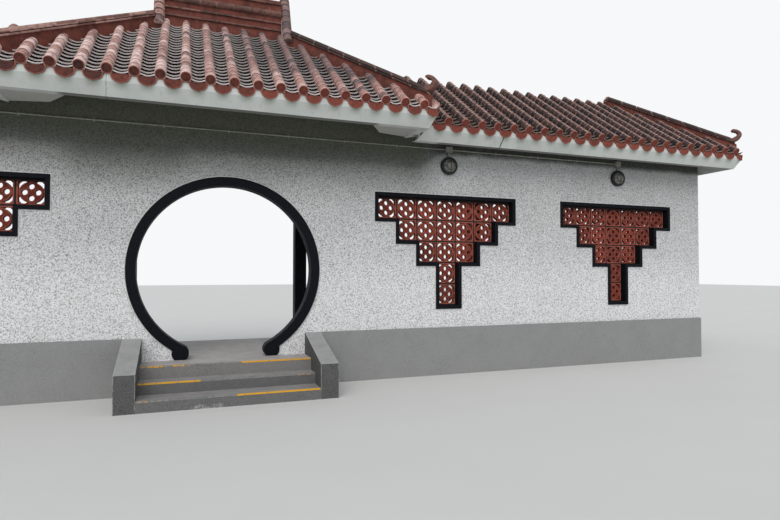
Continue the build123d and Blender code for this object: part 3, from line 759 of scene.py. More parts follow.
class HippedRoof:
    """A roof's half spans to the eave, the height of its eave tiles' middles and its pitch."""

    def __init__(self, depth, length, eave_z, pitch):
        self.depth = depth
        self.length = length
        self.eave_z = eave_z
        self.pitch = pitch
        self.rise = math.tan(math.radians(pitch))
        self.apex = length - depth
        self.ridge_z = eave_z + depth * self.rise

    def slope(self, outward):
        start = self.length if outward[0] else self.depth
        return Slope(outward, start, self.eave_z, self.pitch)


high_roof = HippedRoof(depth=1.809, length=2.440, eave_z=3.495, pitch=37)
low_roof = HippedRoof(depth=1.464, length=8.150, eave_z=3.420, pitch=35)
valley_x = high_roof.length - (low_roof.ridge_z - high_roof.eave_z) / high_roof.rise
valley_y = low_roof.depth - (high_roof.eave_z - low_roof.eave_z) / low_roof.rise
print("ridges at", round(high_roof.ridge_z, 3), round(low_roof.ridge_z, 3),
      "valley from", round(valley_x, 3))

# %% [markdown]
# ## Rings joined into a shell
# Most small shapes here are the same idea: a few rings of corners, each ring joined to the next,
# and the first and last closed. A tile is rings along the slope, an end disc is rings around a
# middle, a bent cap is rings along its bend.

# %% Shells


def shell(rings):
    """Corners and faces of a closed shell. Rings are loops of equal length."""
    count = len(rings[0])
    faces = []
    for ring in range(len(rings) - 1):
        for step in range(count):
            after = (step + 1) % count
            faces.append((ring * count + step, ring * count + after, (ring + 1) * count + after,
                          (ring + 1) * count + step))
    last = (len(rings) - 1) * count
    faces.append(tuple(reversed(range(count))))
    faces.append(tuple(range(last, last + count)))
    return np.array([corner for ring in rings for corner in ring], dtype=float), faces


def strip(rings):
    """Like shell, for rings that are cross sections of a loop: the last ring joins the first."""
    count = len(rings[0])
    faces = []
    for ring in range(len(rings)):
        after = (ring + 1) % len(rings)
        for step in range(count - 1):
            faces.append((ring * count + step, ring * count + step + 1, after * count + step + 1,
                          after * count + step))
    faces.append(tuple(ring * count for ring in range(len(rings))))
    faces.append(tuple(ring * count + count - 1 for ring in reversed(range(len(rings)))))
    return np.array([corner for ring in rings for corner in ring], dtype=float), faces


cube = [[(x, y, z) for x, y in ((0, 0), (1, 0), (1, 1), (0, 1))] for z in (0, 1)]
print("faces of a shell of two square rings:", len(shell(cube)[1]))

# %% [markdown]
# ## One cover tile, one trough tile
# A cover tile is a half round pipe on short legs, bedded in mortar, a little wider at its lower
# mouth, which laps over the tile below. A trough tile is a shallow dish under and between the
# covers. A third of each lies under the next. Seen from below, what shows is a ladder of pale
# front edges, worn and painted highlight, with black gaps, where the dishes are painted dark as
# shade. So the dish is tilted: its mouth stands clear of the one below.

# %% A cover tile
cover_radius = 0.060
cover_step = 0.125
cover_lap = 0.03
cover_taper = 0.006
cover_leg = 0.056
cover_wall = 0.012
mouth_band = 0.010
mouth_round = 0.003


def cover_tile(lower, upper):
    """A half round tile in slope coordinates: up the slope, along the eave, above the tile line."""
    turns = np.radians(np.linspace(-90, 90, 10))
    slim = cover_radius - cover_taper
    lapped = upper - cover_lap
    stations = ((lower, cover_radius - mouth_round, 1), (lower + mouth_round, cover_radius, 1),
                (lower + mouth_band, cover_radius, 0), (lapped - 0.026, slim + 0.001, 0),
                (lapped - 0.004, slim, -1), (upper, slim, -1))
    rings = []
    edges = []
    for up, radius, edge in stations:
        arch = [(up, radius * math.sin(turn), radius * math.cos(turn)) for turn in turns]
        foot = radius - cover_wall
        rings.append([(up, -foot, -cover_leg)] + arch + [(up, foot, -cover_leg)])
        edges += [edge] * (len(turns) + 2)
    corners, faces = shell(rings)
    return corners, faces, edges


print("cover corners", len(cover_tile(0, 1)[0]))

# %% [markdown]
# The trough is a thin strip with a sagging cross section. Its mouth is a rounded lip, which is
# what catches the light, and is marked for a pale rim: wear and painted highlight.

# %% A trough tile
trough_width = 0.190
trough_drop = 0.018
trough_sag = 0.036
trough_wall = 0.013
trough_step = 0.108
trough_lap = 0.05
trough_mouth = 0.026
trough_tail = -0.016


def trough_line(across):
    """Height of a level trough's upper face at a distance from its middle."""
    return -trough_drop - trough_sag * (1 - (2 * across / trough_width) ** 2)


def trough_tile(lower, upper, mouth=trough_mouth):
    """A shallow dish, its mouth raised and its tail low."""
    stations = ((lower, mouth, 1), (lower + 0.008, mouth - 0.001, 0.9),
                (lower + 0.022, mouth - 0.006, 0), (upper, trough_tail, 0),
                (upper, trough_tail - trough_wall, 0),
                (lower + 0.004, mouth - trough_wall - 0.002, 0), (lower, mouth - trough_wall, 1))
    acrosses = np.linspace(-trough_width / 2, trough_width / 2, 7)
    rings = []
    edges = []
    for up, lift, edge in stations:
        rings.append([(up, across, trough_line(across) + lift) for across in acrosses])
        edges += [edge] * len(acrosses)
    corners, faces = strip(rings)
    return corners, faces, edges


print("trough corners", len(trough_tile(0, 1)[0]))

# %% [markdown]
# ## Ends at the eave
# The lowest cover is closed by a round stamped disc, and a stamped apron hangs from the lowest
# trough so that rain drips clear of the wall. Both are pressed clay: a raised rim around a simple
# flower. The disc is rings around its middle. The apron is the same, with an outline like a
# fan: its top follows the trough, its foot comes to a soft point.

# %% End disc
disc_radius = 0.055
petals = 8
petal_depth = 0.05
petal_band = (0.5, 0.7)
disc_profile = ((1.0, 0.004), (1.0, -0.013), (0.96, -0.016), (0.84, -0.016), (0.80, -0.009),
                (0.66, -0.009), (0.54, -0.014), (0.30, -0.010), (0.24, -0.016), (0.10, -0.017))


def end_disc():
    """A stamped disc in slope coordinates, its face down the slope."""
    turns = np.linspace(0, 2 * math.pi, 24, endpoint=False)
    rings = []
    edges = []
    for share, up in disc_profile:
        wave = petal_depth if petal_band[0] < share < petal_band[1] else 0.0
        reaches = [disc_radius * (share + wave * math.cos(petals * turn)) for turn in turns]
        rings.append([(up, reach * math.sin(turn), reach * math.cos(turn))
                      for reach, turn in zip(reaches, turns)])
        edges += [1.0 if share > 0.83 and up < 0 else 0.0] * len(turns)
    corners, faces = shell(rings)
    return corners, faces, edges


print("disc corners", len(end_disc()[0]))

# %% [markdown]
# The apron's profile gives, for each share of the way out from its centre, how far it stands out:
# a raised rim, a sunk field and a raised middle.

# %% Drip apron
apron_half = 0.096
apron_top = -0.050
apron_foot = -0.146
apron_centre = -0.085
apron_point = 0.008
apron_profile = ((1.0, -0.013), (1.0, -0.001), (0.97, 0.001), (0.89, 0.001), (0.85, -0.004),
                 (0.60, -0.004), (0.50, -0.001), (0.25, -0.004), (0.15, 0.0))


def apron_outline():
    """Points of the apron (along the eave, height), from one top corner round the foot."""
    points = []
    depth = apron_foot - apron_top + apron_point
    for turn in np.linspace(0, math.pi, 15):
        side = math.cos(turn)
        drop = math.sin(turn) ** 0.8
        soft_point = apron_point * max(0.0, 1 - abs(side) * 4)
        points.append((apron_half * side, apron_top + depth * drop - soft_point))
    for share in np.linspace(-0.84, 0.84, 7):
        points.append((share * apron_half, apron_top - 0.004 * (1 - share * share) + 0.004))
    return points


def drip_apron():
    """A stamped apron: (outward, along, up), its face outward."""
    outline = apron_outline()
    rings = []
    edges = []
    for share, out in apron_profile:
        rings.append([(out, share * along, apron_centre + share * (up - apron_centre))
                      for along, up in outline])
        edges += [1.0 if share > 0.88 and out > -0.01 else 0.0] * len(outline)
    corners, faces = shell(rings)
    return corners, faces, edges


print("apron corners", len(drip_apron()[0]))

# %% [markdown]
# ## Laying a slope
# Each row runs from its lower end, which is the eave or a valley, to its upper end at a hip or a
# ridge. Both ends come from plan geometry: the hips run at 45 degrees, so a row that is so far
# from the middle is that much shorter. Ends are laid a little long, and then cut on the hip's or
# the valley's upright plane. The roofs are pinker to the left, so tone follows X a little. The
# tall roof's rows are a little slimmer further up, which is how such rows are bedded when they
# have to close up under a ridge.

# %% Laying covers
cover_overhang = 0.007
slimming_run = 1.2
common_share = 0.62


def weathering(slope, across, chance):
    """A tone for a tile: random, and darker to the right."""
    x = (slope.corner + across * slope.along)[0]
    common = chance.random() < common_share
    own_tone = chance.triangular(0.0, 0.6, 0.2) if common else chance.uniform(0.5, 1.0)
    return min(1.0, max(0.0, own_tone + 0.20 * max(-1.8, min(1.4, x))))


def lay_covers(slope, rows, covers, ends, chance, slimmer):
    """rows is a list of (across, upper): a cover row's middle line and the length of it. Slimmer
    is the share of a row's width that is lost on its slimming run up from the eave."""
    disc_corners, disc_faces, disc_edges = end_disc()
    for across, upper in rows:
        drift = chance.uniform(-0.003, 0.003)
        start = -cover_overhang
        while start < upper:
            end = min(start + cover_step * chance.uniform(0.93, 1.07), upper)
            corners, faces, edges = cover_tile(start, end + cover_lap)
            corners[:, 1:] *= 1 - slimmer * min(1.0, max(0.0, start) / slimming_run)
            corners[:, 1] += across + drift + chance.uniform(-0.002, 0.002)
            corners[:, 2] += chance.uniform(-0.002, 0.001)
            covers.add(slope.place(corners), faces, weathering(slope, across, chance), edges)
            start = end + 0.0001
        turned = disc_corners + np.array([0.0, across + drift, 0.0])
        ends.add(slope.place(turned), disc_faces, chance.triangular(0.0, 1.0, 0.5), disc_edges)


print("covers on a row of 2 m:", round(2 / cover_step))

# %% [markdown]
# Troughs start with one short tile that rests on the mortar, and the apron hangs below it. The
# others overlap by a third of their length. Each shifts a little, as laid by hand.

# %% Laying troughs
first_trough = -0.005
first_mouth = 0.022
second_trough = 0.070


def lay_troughs(slope, rows, troughs, aprons, chance):
    """rows is a list of (across, upper), as for covers."""
    apron_corners, apron_faces, apron_edges = drip_apron()
    for across, upper in rows:
        corners, faces, edges = trough_tile(first_trough, trough_step, mouth=first_mouth)
        corners[:, 1] += across
        troughs.add(slope.place(corners), faces, chance.triangular(0.0, 1.0, 0.5), edges)
        start = second_trough
        while start < upper:
            corners, faces, edges = trough_tile(start, start + trough_step + trough_lap)
            corners[:, 1] += across + chance.uniform(-0.003, 0.003)
            corners[:, 2] += chance.uniform(-0.002, 0.002)
            troughs.add(slope.place(corners), faces, chance.triangular(0.0, 1.0, 0.5), edges)
            start += trough_step
        spin = chance.uniform(-0.02, 0.02)
        hung = apron_corners + np.array([0.0, across, 0.0])
        hung[:, 0] += (hung[:, 1] - across) * spin
        placed = (slope.corner + hung[:, :1] * slope.out + hung[:, 1:2] * slope.along
                  + hung[:, 2:] * np.array([0.0, 0.0, 1.0]))
        aprons.add(placed, apron_faces, chance.triangular(0.0, 1.0, 0.45), apron_edges)


print("part of a trough under the next:", round(trough_lap / (trough_step + trough_lap), 2))

# %% [markdown]
# Rows and cuts come from the same plan geometry. A row is laid past the hip by more than half the
# width of a tile, so that the cut goes through whole tiles.

# %% Rows and cuts
past_cut = 0.12
diagonal = math.sqrt(0.5)


def plan_rows(roof, end_slope, offset, wanted):
    """The rows of one slope: their distance from the middle, and their length up the slope.
    The offset is 0 for covers and 0.5 for the troughs between them."""
    half = roof.depth if end_slope else roof.length
    cos = math.cos(math.radians(roof.pitch))
    rows = []
    count = int(half / tile_row) + 1
    for number in range(-count, count + 1):
        across = (number + offset) * tile_row
        if abs(across) > half - 0.02 or not wanted(across):
            continue
        past_hip = abs(across) if end_slope else max(0.0, abs(across) - roof.apex)
        rows.append((across, (roof.depth - past_hip) / cos + past_cut))
    return rows


def hip_cut(roof, side_x, side_y, keep_end):
    """The upright plane over one hip. keep_end keeps the end slope, otherwise the long one."""
    way = Vector((side_x * diagonal, -side_y * diagonal, 0.0))
    return Vector((side_x * roof.apex, 0.0, 0.0)), -way if keep_end else way


def valley_cut(side_x, side_y, keep_high):
    """The upright plane over one valley between the roofs."""
    run = Vector((side_x * (high_roof.length - valley_x), side_y * valley_y, 0.0)).normalized()
    way = Vector((side_x * abs(run.y), -side_y * abs(run.x), 0.0))
    return Vector((side_x * valley_x, 0.0, 0.0)), way if keep_high else -way


front_rows = plan_rows(high_roof, False, 0.0, lambda across: True)
print("cover rows on the tall roof's front:", len(front_rows))

# %% [markdown]
# Under the lowest tiles the bedding mortar shows, painted like the fascia: it rises into each
# cover, where the disc hides it, and sinks under each apron. It is one cross section, carried
# along the eave with a top that follows the tiles.

# %% Eave mortar
chance = random.Random(11)
mortar_top = -0.100
mortar_rise = 0.066
mortar_foot = ((-0.023, -0.104), (-0.0235, -0.122), (-0.0265, -0.136), (-0.0305, -0.150),
               (-0.0345, -0.163), (-0.090, -0.163))


def eave_mortar(slope, roof, end_slope, wanted, mortar):
    """The pale bedding under the lowest tiles, seen between the aprons."""
    rows = [across for across, upper in plan_rows(roof, end_slope, 0.0, wanted)]
    stations = np.arange(min(rows) - tile_row / 2, max(rows) + tile_row, tile_row / 8)
    rings = []
    for across in stations:
        to_row = abs((across / tile_row + 0.5) % 1.0 - 0.5) * tile_row
        arch = math.sqrt(max(0.0, 1 - to_row / 0.05))
        top = mortar_top + mortar_rise * arch + chance.uniform(-0.003, 0.003)
        section = [(-0.034, top), (-0.027, min(top, -0.068) - 0.002), *mortar_foot, (-0.090, top)]
        rings.append([slope.corner + out * slope.out + across * slope.along
                      + np.array([0.0, 0.0, up]) for out, up in section])
    corners, faces = shell(rings)
    mortar.add(corners, faces, 0.5)


print("mortar rises", mortar_rise, "m into each cover")

# %% [markdown]
# The tall roof's front and back slopes are whole. Its end slopes are split by the low roof's
# valleys into a front and a back half. The low roof's long slopes start from the same valleys.

# %% One covered slope
high_slimming = 0.18
high_clays = (tile_clay, dark_shaded_pan_clay)
low_clays = (dark_shaded_old_tile_clay, dark_shaded_old_pan_clay)


def cover_slope(name, roof, outward, wanted, cuts, stands_for):
    """Lays covers, troughs and their ends on a slope, or on the wanted part of it."""
    slope = roof.slope(outward)
    end_slope = bool(outward[0])
    high = roof is high_roof
    covers, troughs, ends, mortar = Pile(), Pile(), Pile(), Pile()
    eave_mortar(slope, roof, end_slope, wanted, mortar)
    cover_rows = plan_rows(roof, end_slope, 0.0, wanted)
    lay_covers(slope, cover_rows, covers, ends, chance, high_slimming if high else 0.0)
    lay_troughs(slope, plan_rows(roof, end_slope, 0.5, wanted), troughs, ends, chance)
    cover_clay, trough_clay = high_clays if high else low_clays
    for word, pile, finish in (("covers", covers, cover_clay), ("troughs", troughs, trough_clay),
                               ("ends", ends, end_clay), ("mortar", mortar, fascia_paint.material)):
        place_piece(f"{name}_{word}", pile, finish, "clay_tile", stands_for, cuts=cuts)


print("clays of the tall roof:", [clay.name for clay in high_clays])

# %% [markdown]
# Besides the hips and valleys, a slope is cut a little before the ridge or at the middle plane,
# where its other half begins. Left of the middle a slope's rows run the other way, so the rows
# that are wanted are told by the direction in which its eave runs.

# %% The covering of both roofs
sides_x = ((-1, "left"), (1, "right"))
sides_y = ((-1, "front"), (1, "back"))
middle_point = Vector((0, 0, 0))
ridge_clear = 0.12
fin_clear = 0.89

for side_y, word in sides_y:
    cuts = [hip_cut(high_roof, 1, side_y, False), hip_cut(high_roof, -1, side_y, False),
            (Vector((0, side_y * ridge_clear, 0)), Vector((0, -side_y, 0)))]
    cover_slope(f"high_{word}", high_roof, (0, side_y), lambda across: True, cuts,
                "high_roof_tiles")

for side_x, hand in sides_x:
    direction = high_roof.slope((side_x, 0)).along[1]
    for side_y, word in sides_y:
        cuts = [hip_cut(high_roof, side_x, side_y, True), valley_cut(side_x, side_y, True),
                (Vector((side_x * fin_clear, 0, 0)), Vector((-side_x, 0, 0))),
                (middle_point, Vector((0, -side_y, 0)))]
        cover_slope(f"high_{hand}_{word}", high_roof, (side_x, 0),
                    lambda across: across * direction * side_y > -0.13, cuts, "high_roof_tiles")

for side_y, word in sides_y:
    direction = low_roof.slope((0, side_y)).along[0]
    for side_x, hand in sides_x:
        cuts = [hip_cut(low_roof, side_x, side_y, False), valley_cut(side_x, side_y, False),
                (middle_point, Vector((0, -side_y, 0)))]
        cover_slope(f"low_{hand}_{word}", low_roof, (0, side_y),
                    lambda across: across * direction * side_x > valley_x - 0.1, cuts,
                    f"low_roof_tiles_{hand}")

for side_x, hand in sides_x:
    cuts = [hip_cut(low_roof, side_x, side_y, True) for side_y in (-1, 1)]
    cover_slope(f"low_{hand}_end", low_roof, (side_x, 0), lambda across: True, cuts,
                f"low_roof_tiles_{hand}")

# %% [markdown]
# ## Hip ridges
# Over each hip stands a low plastered web. On it lie two thin courses of flat tiles with a slit
# between them, where a dark strip stands as painted shadow, and a round cap of half tiles. At the
# corner the courses turn up into a hook, which keeps the last tile from sliding off and ends the
# line with a flourish. In plan a hip runs at 45 degrees, so a place on it is a plan distance from
# the apex, a distance across and a height straight up from the tile planes.

# %% A hip's line


class HipLine:
    """One hip of a roof: side_x and side_y say which corner it runs to."""

    def __init__(self, roof, side_x, side_y):
        self.fall = roof.rise * diagonal
        self.apex = np.array([side_x * roof.apex, 0.0, roof.ridge_z])
        self.way = np.array([side_x * diagonal, side_y * diagonal, 0.0])
        self.across = np.array([-side_y * diagonal, side_x * diagonal, 0.0])
        self.end = (roof.depth - 0.055) / diagonal

    def place(self, run, across, height):
        return (self.apex + run * self.way + across * self.across
                + np.array([0.0, 0.0, height - run * self.fall]))


print("hip length in plan", round(HipLine(low_roof, 1, 1).end, 3))

# %% [markdown]
# A web, a course or a cap is a cross section carried along that line, in plain stretches for
# plaster or in pieces of one tile's length. Each piece shifts by a millimetre or two and swells a
# little within its ends, so that the joints show.

# %% Sections along a line
course_length = 0.235
joint_width = 0.004
end_band = 0.012


def run_section(line, start, end, section, pieces, pile, tones, lip=0.0):
    """Lays a section (across, height) along a line from start to end. Lip is how worn and pale
    the ends of its pieces are."""
    for run_from, run_to in pieces(start, end):
        tone = chance.uniform(*tones)
        shift = chance.uniform(-0.002, 0.002)
        rings = []
        edges = []
        for run, edge, grow in ((run_from, lip, 0.0), (run_from + end_band, 0.0, 0.001),
                                (run_to - end_band, 0.0, 0.001), (run_to, lip, 0.0)):
            rings.append([line.place(run, across * (1 + grow) + shift, height + grow)
                          for across, height in section])
            edges += [edge] * len(section)
        corners, faces = shell(rings)
        pile.add(corners, faces, tone, edges)


def whole(start, end):
    """Short stretches without joints, for plaster."""
    stations = np.linspace(start, end, max(2, int((end - start) / 0.2)))
    return list(zip(stations, stations[1:] + 0.0005))


def laid(start, end):
    """Pieces of one tile's length, with a joint between them."""
    count = max(1, round((end - start) / course_length))
    stations = np.linspace(start, end, count + 1)
    return [(first, second - joint_width) for first, second in zip(stations, stations[1:])]


def box_section(half, bottom, top, soft=0.003):
    """A box's cross section with its corners cut off."""
    return [(-half + soft, bottom), (half - soft, bottom), (half, bottom + soft),
            (half, top - soft), (half - soft, top), (-half + soft, top), (-half, top - soft),
            (-half, bottom + soft)]


print("pieces laid on 2 m:", len(laid(0.0, 2.0)))

# %% [markdown]
# The hook is a band bent round part of an oval, thickest at its middle and blunt at its tip. It is
# rings along the bend: each is a box section turned with it.

# %% The hook
course_half = 0.075
hook_run = 0.148
hook_rise = 0.108
hook_thick = 0.062
hook_start = -136
hook_sweep = 226
blunt_from = 0.93


def hook(line, pile, base, tone):
    """The upturned end: a tapering band bent from the hip's line up and back."""
    middle_run = line.end - 0.080
    middle_height = base + hook_rise + 0.012 - middle_run * line.fall
    rings = []
    for share in np.append(np.linspace(0.0, blunt_from, 17), (0.955, 0.98, 1.0)):
        turn = math.radians(hook_start + hook_sweep * share)
        past = (share - blunt_from) / 0.07
        blunt = math.sqrt(max(0.0, 1 - past ** 2)) if share > blunt_from else 1.0
        full = hook_thick * (0.75 + 0.45 * math.sin(math.pi * min(1.0, share * 1.15)) ** 2)
        thick = full * max(0.2, blunt)
        half = course_half * (0.88 - 0.16 * share)
        ring = []
        for across, depth in box_section(half, 0.0, thick, min(0.012, thick / 3)):
            inward = depth + (full - thick) / 2
            run = middle_run + (hook_run - inward) * math.cos(turn)
            height = middle_height + (hook_rise - inward) * math.sin(turn)
            ring.append(line.place(run, across, height + run * line.fall))
        rings.append(ring)
    corners, faces = shell(rings)
    pile.add(corners, faces, tone)


print("the hook bends round an oval of", 2 * hook_run, "by", 2 * hook_rise, "m")

# %% [markdown]
# From bottom to top: the web, the lower course, the slit with its painted shadow, the upper course
# and the cap. Each stops a little before the one under it at the corner. The tiles of the right
# half are darker.

# %% All hips
web_half = 0.05
web_top = 0.085
course_thick = 0.022
slit = 0.010
upper_course_half = 0.064
upper_course_thick = 0.016
hip_cap_radius = 0.046
plain_tones = (0.5, 0.5)


def build_hips(name, roof, start, stands_for):
    """Web, courses with painted shadow between them, caps and hooks over the four hips of a roof.
    """
    plaster, courses, caps, shadow = Pile(), Pile(), Pile(), Pile()
    first = web_top + course_thick
    second = first + slit
    cap_foot = second + upper_course_thick - 0.004
    cap_section = [(hip_cap_radius * math.sin(turn), cap_foot + hip_cap_radius * math.cos(turn))
                   for turn in np.radians(np.linspace(90, -90, 9))]
    web_section = box_section(web_half, -0.10, web_top + 0.002)
    lower_section = box_section(course_half, web_top, first)
    upper_section = box_section(upper_course_half, second, second + upper_course_thick)
    # The slit between the courses holds a dark strip: painted shadow.
    slit_section = box_section(web_half - 0.006, first - 0.002, second + 0.002)
    for side_x in (-1, 1):
        tones = (0.0, 0.5) if side_x < 0 else (0.75, 1.0)
        for side_y in (-1, 1):
            line = HipLine(roof, side_x, side_y)
            run_section(line, start, line.end - 0.01, web_section, whole, plaster, plain_tones)
            run_section(line, start, line.end - 0.03, lower_section, laid, courses, tones, 1.0)
            run_section(line, start, line.end - 0.05, slit_section, whole, shadow, (0.9, 1.0))
            run_section(line, start, line.end - 0.06, upper_section, laid, courses, tones, 1.0)
            run_section(line, start, line.end - 0.08, cap_section, laid, caps, tones, 1.0)
            hook(line, courses, web_top, 0.45)
    for word, pile, finish in (("web", plaster, ridge_plaster.material),
                               ("slit", shadow, dark_shaded_old_pan_clay), ("courses", courses, hip_clay),
                               ("caps", caps, hip_clay)):
        place_piece(f"{name}_{word}", pile, finish, "ridge_render", stands_for)


fin_low, fin_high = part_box("ridge_fin_right")
hip_start = (fin_high[0] - high_roof.apex) / diagonal - course_half
build_hips("high_hips", high_roof, hip_start, "high_hip_ridges")
build_hips("low_hips", low_roof, 0.0, "low_hip_ridges")

# %% [markdown]
# ## Main ridge
# The main ridge is a plastered wall with thin tile courses that stand out, a roll of half tiles on
# each face, and a row of cap tiles. It is laid by the same means as a hip, on a level line.

# %% Main ridge
ridge_low, ridge_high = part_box("main_ridge")
ridge_half = 0.150
ridge_foot_z = 4.62
ledge_reach = 0.025
ledge_zs = (4.850, 4.955, 5.225)
ledge_high = 0.026
roll_z = 5.080
roll_radius = 0.045
cap_axis_z = 5.270
cap_radius = ridge_high[2] - cap_axis_z


class LevelLine:
    """The level line along X, for run_section: a run on it is simply an X."""

    def place(self, run, across, height):
        return np.array([run, across, height])


def round_section(middle_across, middle_height, radius, start_turn, end_turn):
    """Part of a circle as a section, from one turn to another, 0 being straight up."""
    return [(middle_across + radius * math.sin(turn), middle_height + radius * math.cos(turn))
            for turn in np.radians(np.linspace(start_turn, end_turn, 9))]


def along_ridge(section, pieces, pile, tones, lip=0.0):
    """Lays a section over the whole length of the main ridge."""
    run_section(LevelLine(), ridge_low[0], ridge_high[0], section, pieces, pile, tones, lip)


plaster, courses, caps = Pile(), Pile(), Pile()
core = box_section(ridge_half - 0.004, ridge_foot_z, cap_axis_z + 0.01)
face = box_section(ridge_half, ridge_foot_z + 0.005, cap_axis_z)
along_ridge(core, whole, plaster, plain_tones)
along_ridge(face, laid, plaster, plain_tones)
ledge_half = ridge_half + ledge_reach
for ledge_z in ledge_zs:
    ledge = box_section(ledge_half, ledge_z - ledge_high / 2, ledge_z + ledge_high / 2)
    along_ridge(ledge, laid, courses, (0.3, 0.8), 0.6)
for side in (-1, 1):
    roll = round_section(side * ridge_half, roll_z, roll_radius, 0, 180 * side)
    along_ridge(roll, laid, courses, (0.35, 0.75), 0.6)
along_ridge(round_section(0.0, cap_axis_z, cap_radius, 110, -110), laid, caps, (0.4, 1.0), 1.0)
for word, pile, finish in (("wall", plaster, ridge_plaster.material),
                           ("courses", courses, hip_clay), ("caps", caps, hip_clay)):
    place_piece(f"main_ridge_{word}", pile, finish, "ridge_render", "main_ridge")

# %% [markdown]
# ## Fins
# A steep fin closes each end of the main ridge. Its cheeks are flat and whitewashed. Cover tiles
# climb its two sloping edges and meet at the tip. The outline is the hull of a foot and a small
# circle, so the tiles' line is that outline drawn in by their radius.

# %% Where a fin's tiles run
fin_middle = (fin_low[0] + fin_high[0]) / 2
fin_cap = (fin_high[0] - fin_low[0]) / 2
fin_half = fin_high[1]
fin_foot_z = 4.660
fin_web = fin_cap - 0.002
fin_tip_radius = 0.060
fin_tip_z = fin_high[2] - fin_tip_radius
foot_far = math.hypot(fin_half, fin_tip_z - fin_foot_z)
lean = math.acos(fin_tip_radius / foot_far) - math.atan2(fin_tip_z - fin_foot_z, fin_half)
edge_out = np.array([math.cos(lean), math.sin(lean)])
edge_up = np.array([-math.sin(lean), math.cos(lean)])
foot_point = np.array([fin_half, fin_foot_z]) - fin_cap * edge_out
climb_length = foot_point[0] / -edge_up[0]
print("fin tiles climb", round(climb_length, 3), "m")

# %% [markdown]
# A row that climbs is cover tiles again, scaled across to the width of the fin. Their legs are
# pushed up, because the web stands right under them.

# %% A row that climbs
climb_step = cover_step * 0.9
climb_lap = 0.02


def climb(pile, foot, up, along, length, radius):
    """A row of cover tiles from foot, so far up. Along is the direction across the row."""
    face = np.cross(up, along)
    start = 0.0
    while start < length - 0.01:
        end = min(start + climb_step, length)
        corners, faces, edges = cover_tile(start, end + climb_lap)
        scaled = corners * np.array([1.0, radius / cover_radius, radius / cover_radius])
        scaled[:, 2] = np.maximum(scaled[:, 2], -0.012)
        pile.add(foot + scaled[:, :1] * up + scaled[:, 1:2] * along + scaled[:, 2:] * face, faces,
                 chance.triangular(0.0, 1.0, 0.45), edges)
        start = end


print("each climbing tile shows", round(climb_step, 4), "m")

# %% [markdown]
# The web between the two rows is an upright slab, its foot hidden in the slopes, and a ball of
# clay closes the tip.

# %% Fins
web_inset = 0.070
web_foot_z = 4.44
web_arch_z = 4.55
web_tip_half = 0.025

webs, edge_caps = Pile(), Pile()
for side_x in (-1, 1):
    x = side_x * fin_middle
    half = fin_half - web_inset
    outline = [(-half, web_foot_z), (0.0, web_arch_z), (half, web_foot_z), (half, fin_foot_z),
               (web_tip_half, fin_tip_z - 0.01), (-web_tip_half, fin_tip_z - 0.01),
               (-half, fin_foot_z)]
    web = shell([[(x + reach, y, z) for y, z in outline]
                 for reach in (-fin_web, 0.004 - fin_web, fin_web - 0.004, fin_web)])
    webs.add(*web, 0.5)
    for side_y in (-1, 1):
        up = np.array([0.0, side_y * edge_up[0], edge_up[1]])
        foot = np.array([x, side_y * foot_point[0], foot_point[1]]) + 0.01 * up
        climb(edge_caps, foot, up, np.array([side_y, 0.0, 0.0]), climb_length - 0.03, fin_cap)
    rings = []
    for tilt in np.radians(np.linspace(-80, 80, 9)):
        reach = fin_cap * math.cos(tilt)
        ball_z = fin_high[2] - fin_cap + fin_cap * math.sin(tilt)
        rings.append([(x + reach * math.cos(turn), reach * math.sin(turn), ball_z)
                      for turn in np.linspace(0, 2 * math.pi, 16, endpoint=False)])
    edge_caps.add(*shell(rings), 0.4)
fins = ("ridge_fin_left", "ridge_fin_right")
place_piece("fin_webs", webs, fin_plaster.material, "ridge_render", *fins)
place_piece("fin_edge_tiles", edge_caps, tile_clay, "ridge_render", *fins)

# %% [markdown]
# ## Plates with holes
# A pierced block is a flat casting with round and curved holes. Outlines come first: loops of
# (x, z) in the wall's plane. Circles and soft-cornered oblongs are needed again and again.

# %% Outlines


def circle(radius, at=(0.0, 0.0), count=20):
    return [(at[0] + radius * math.cos(turn), at[1] + radius * math.sin(turn))
            for turn in np.linspace(0, 2 * math.pi, count, endpoint=False)]


def oblong(half_x, half_z, soft):
    """A soft-cornered oblong around 0."""
    points = []
    for quarter in range(4):
        middle = math.radians(45 + 90 * quarter)
        x = math.copysign(half_x - soft, math.cos(middle))
        z = math.copysign(half_z - soft, math.sin(middle))
        points += [(x + soft * math.cos(turn), z + soft * math.sin(turn))
                   for turn in np.radians(np.linspace(0, 90, 4) + 90 * quarter)]
    return points


print("points of a circle and an oblong:", len(circle(1.0)), len(oblong(1.0, 1.0, 0.1)))

# %% [markdown]
# A 2D curve turns outlines into a plate: they become edges and holes at once, it has a thickness,
# and a small bevel softens every edge. The curve is then turned into plain corners and faces for
# the pile.

# %% Plates


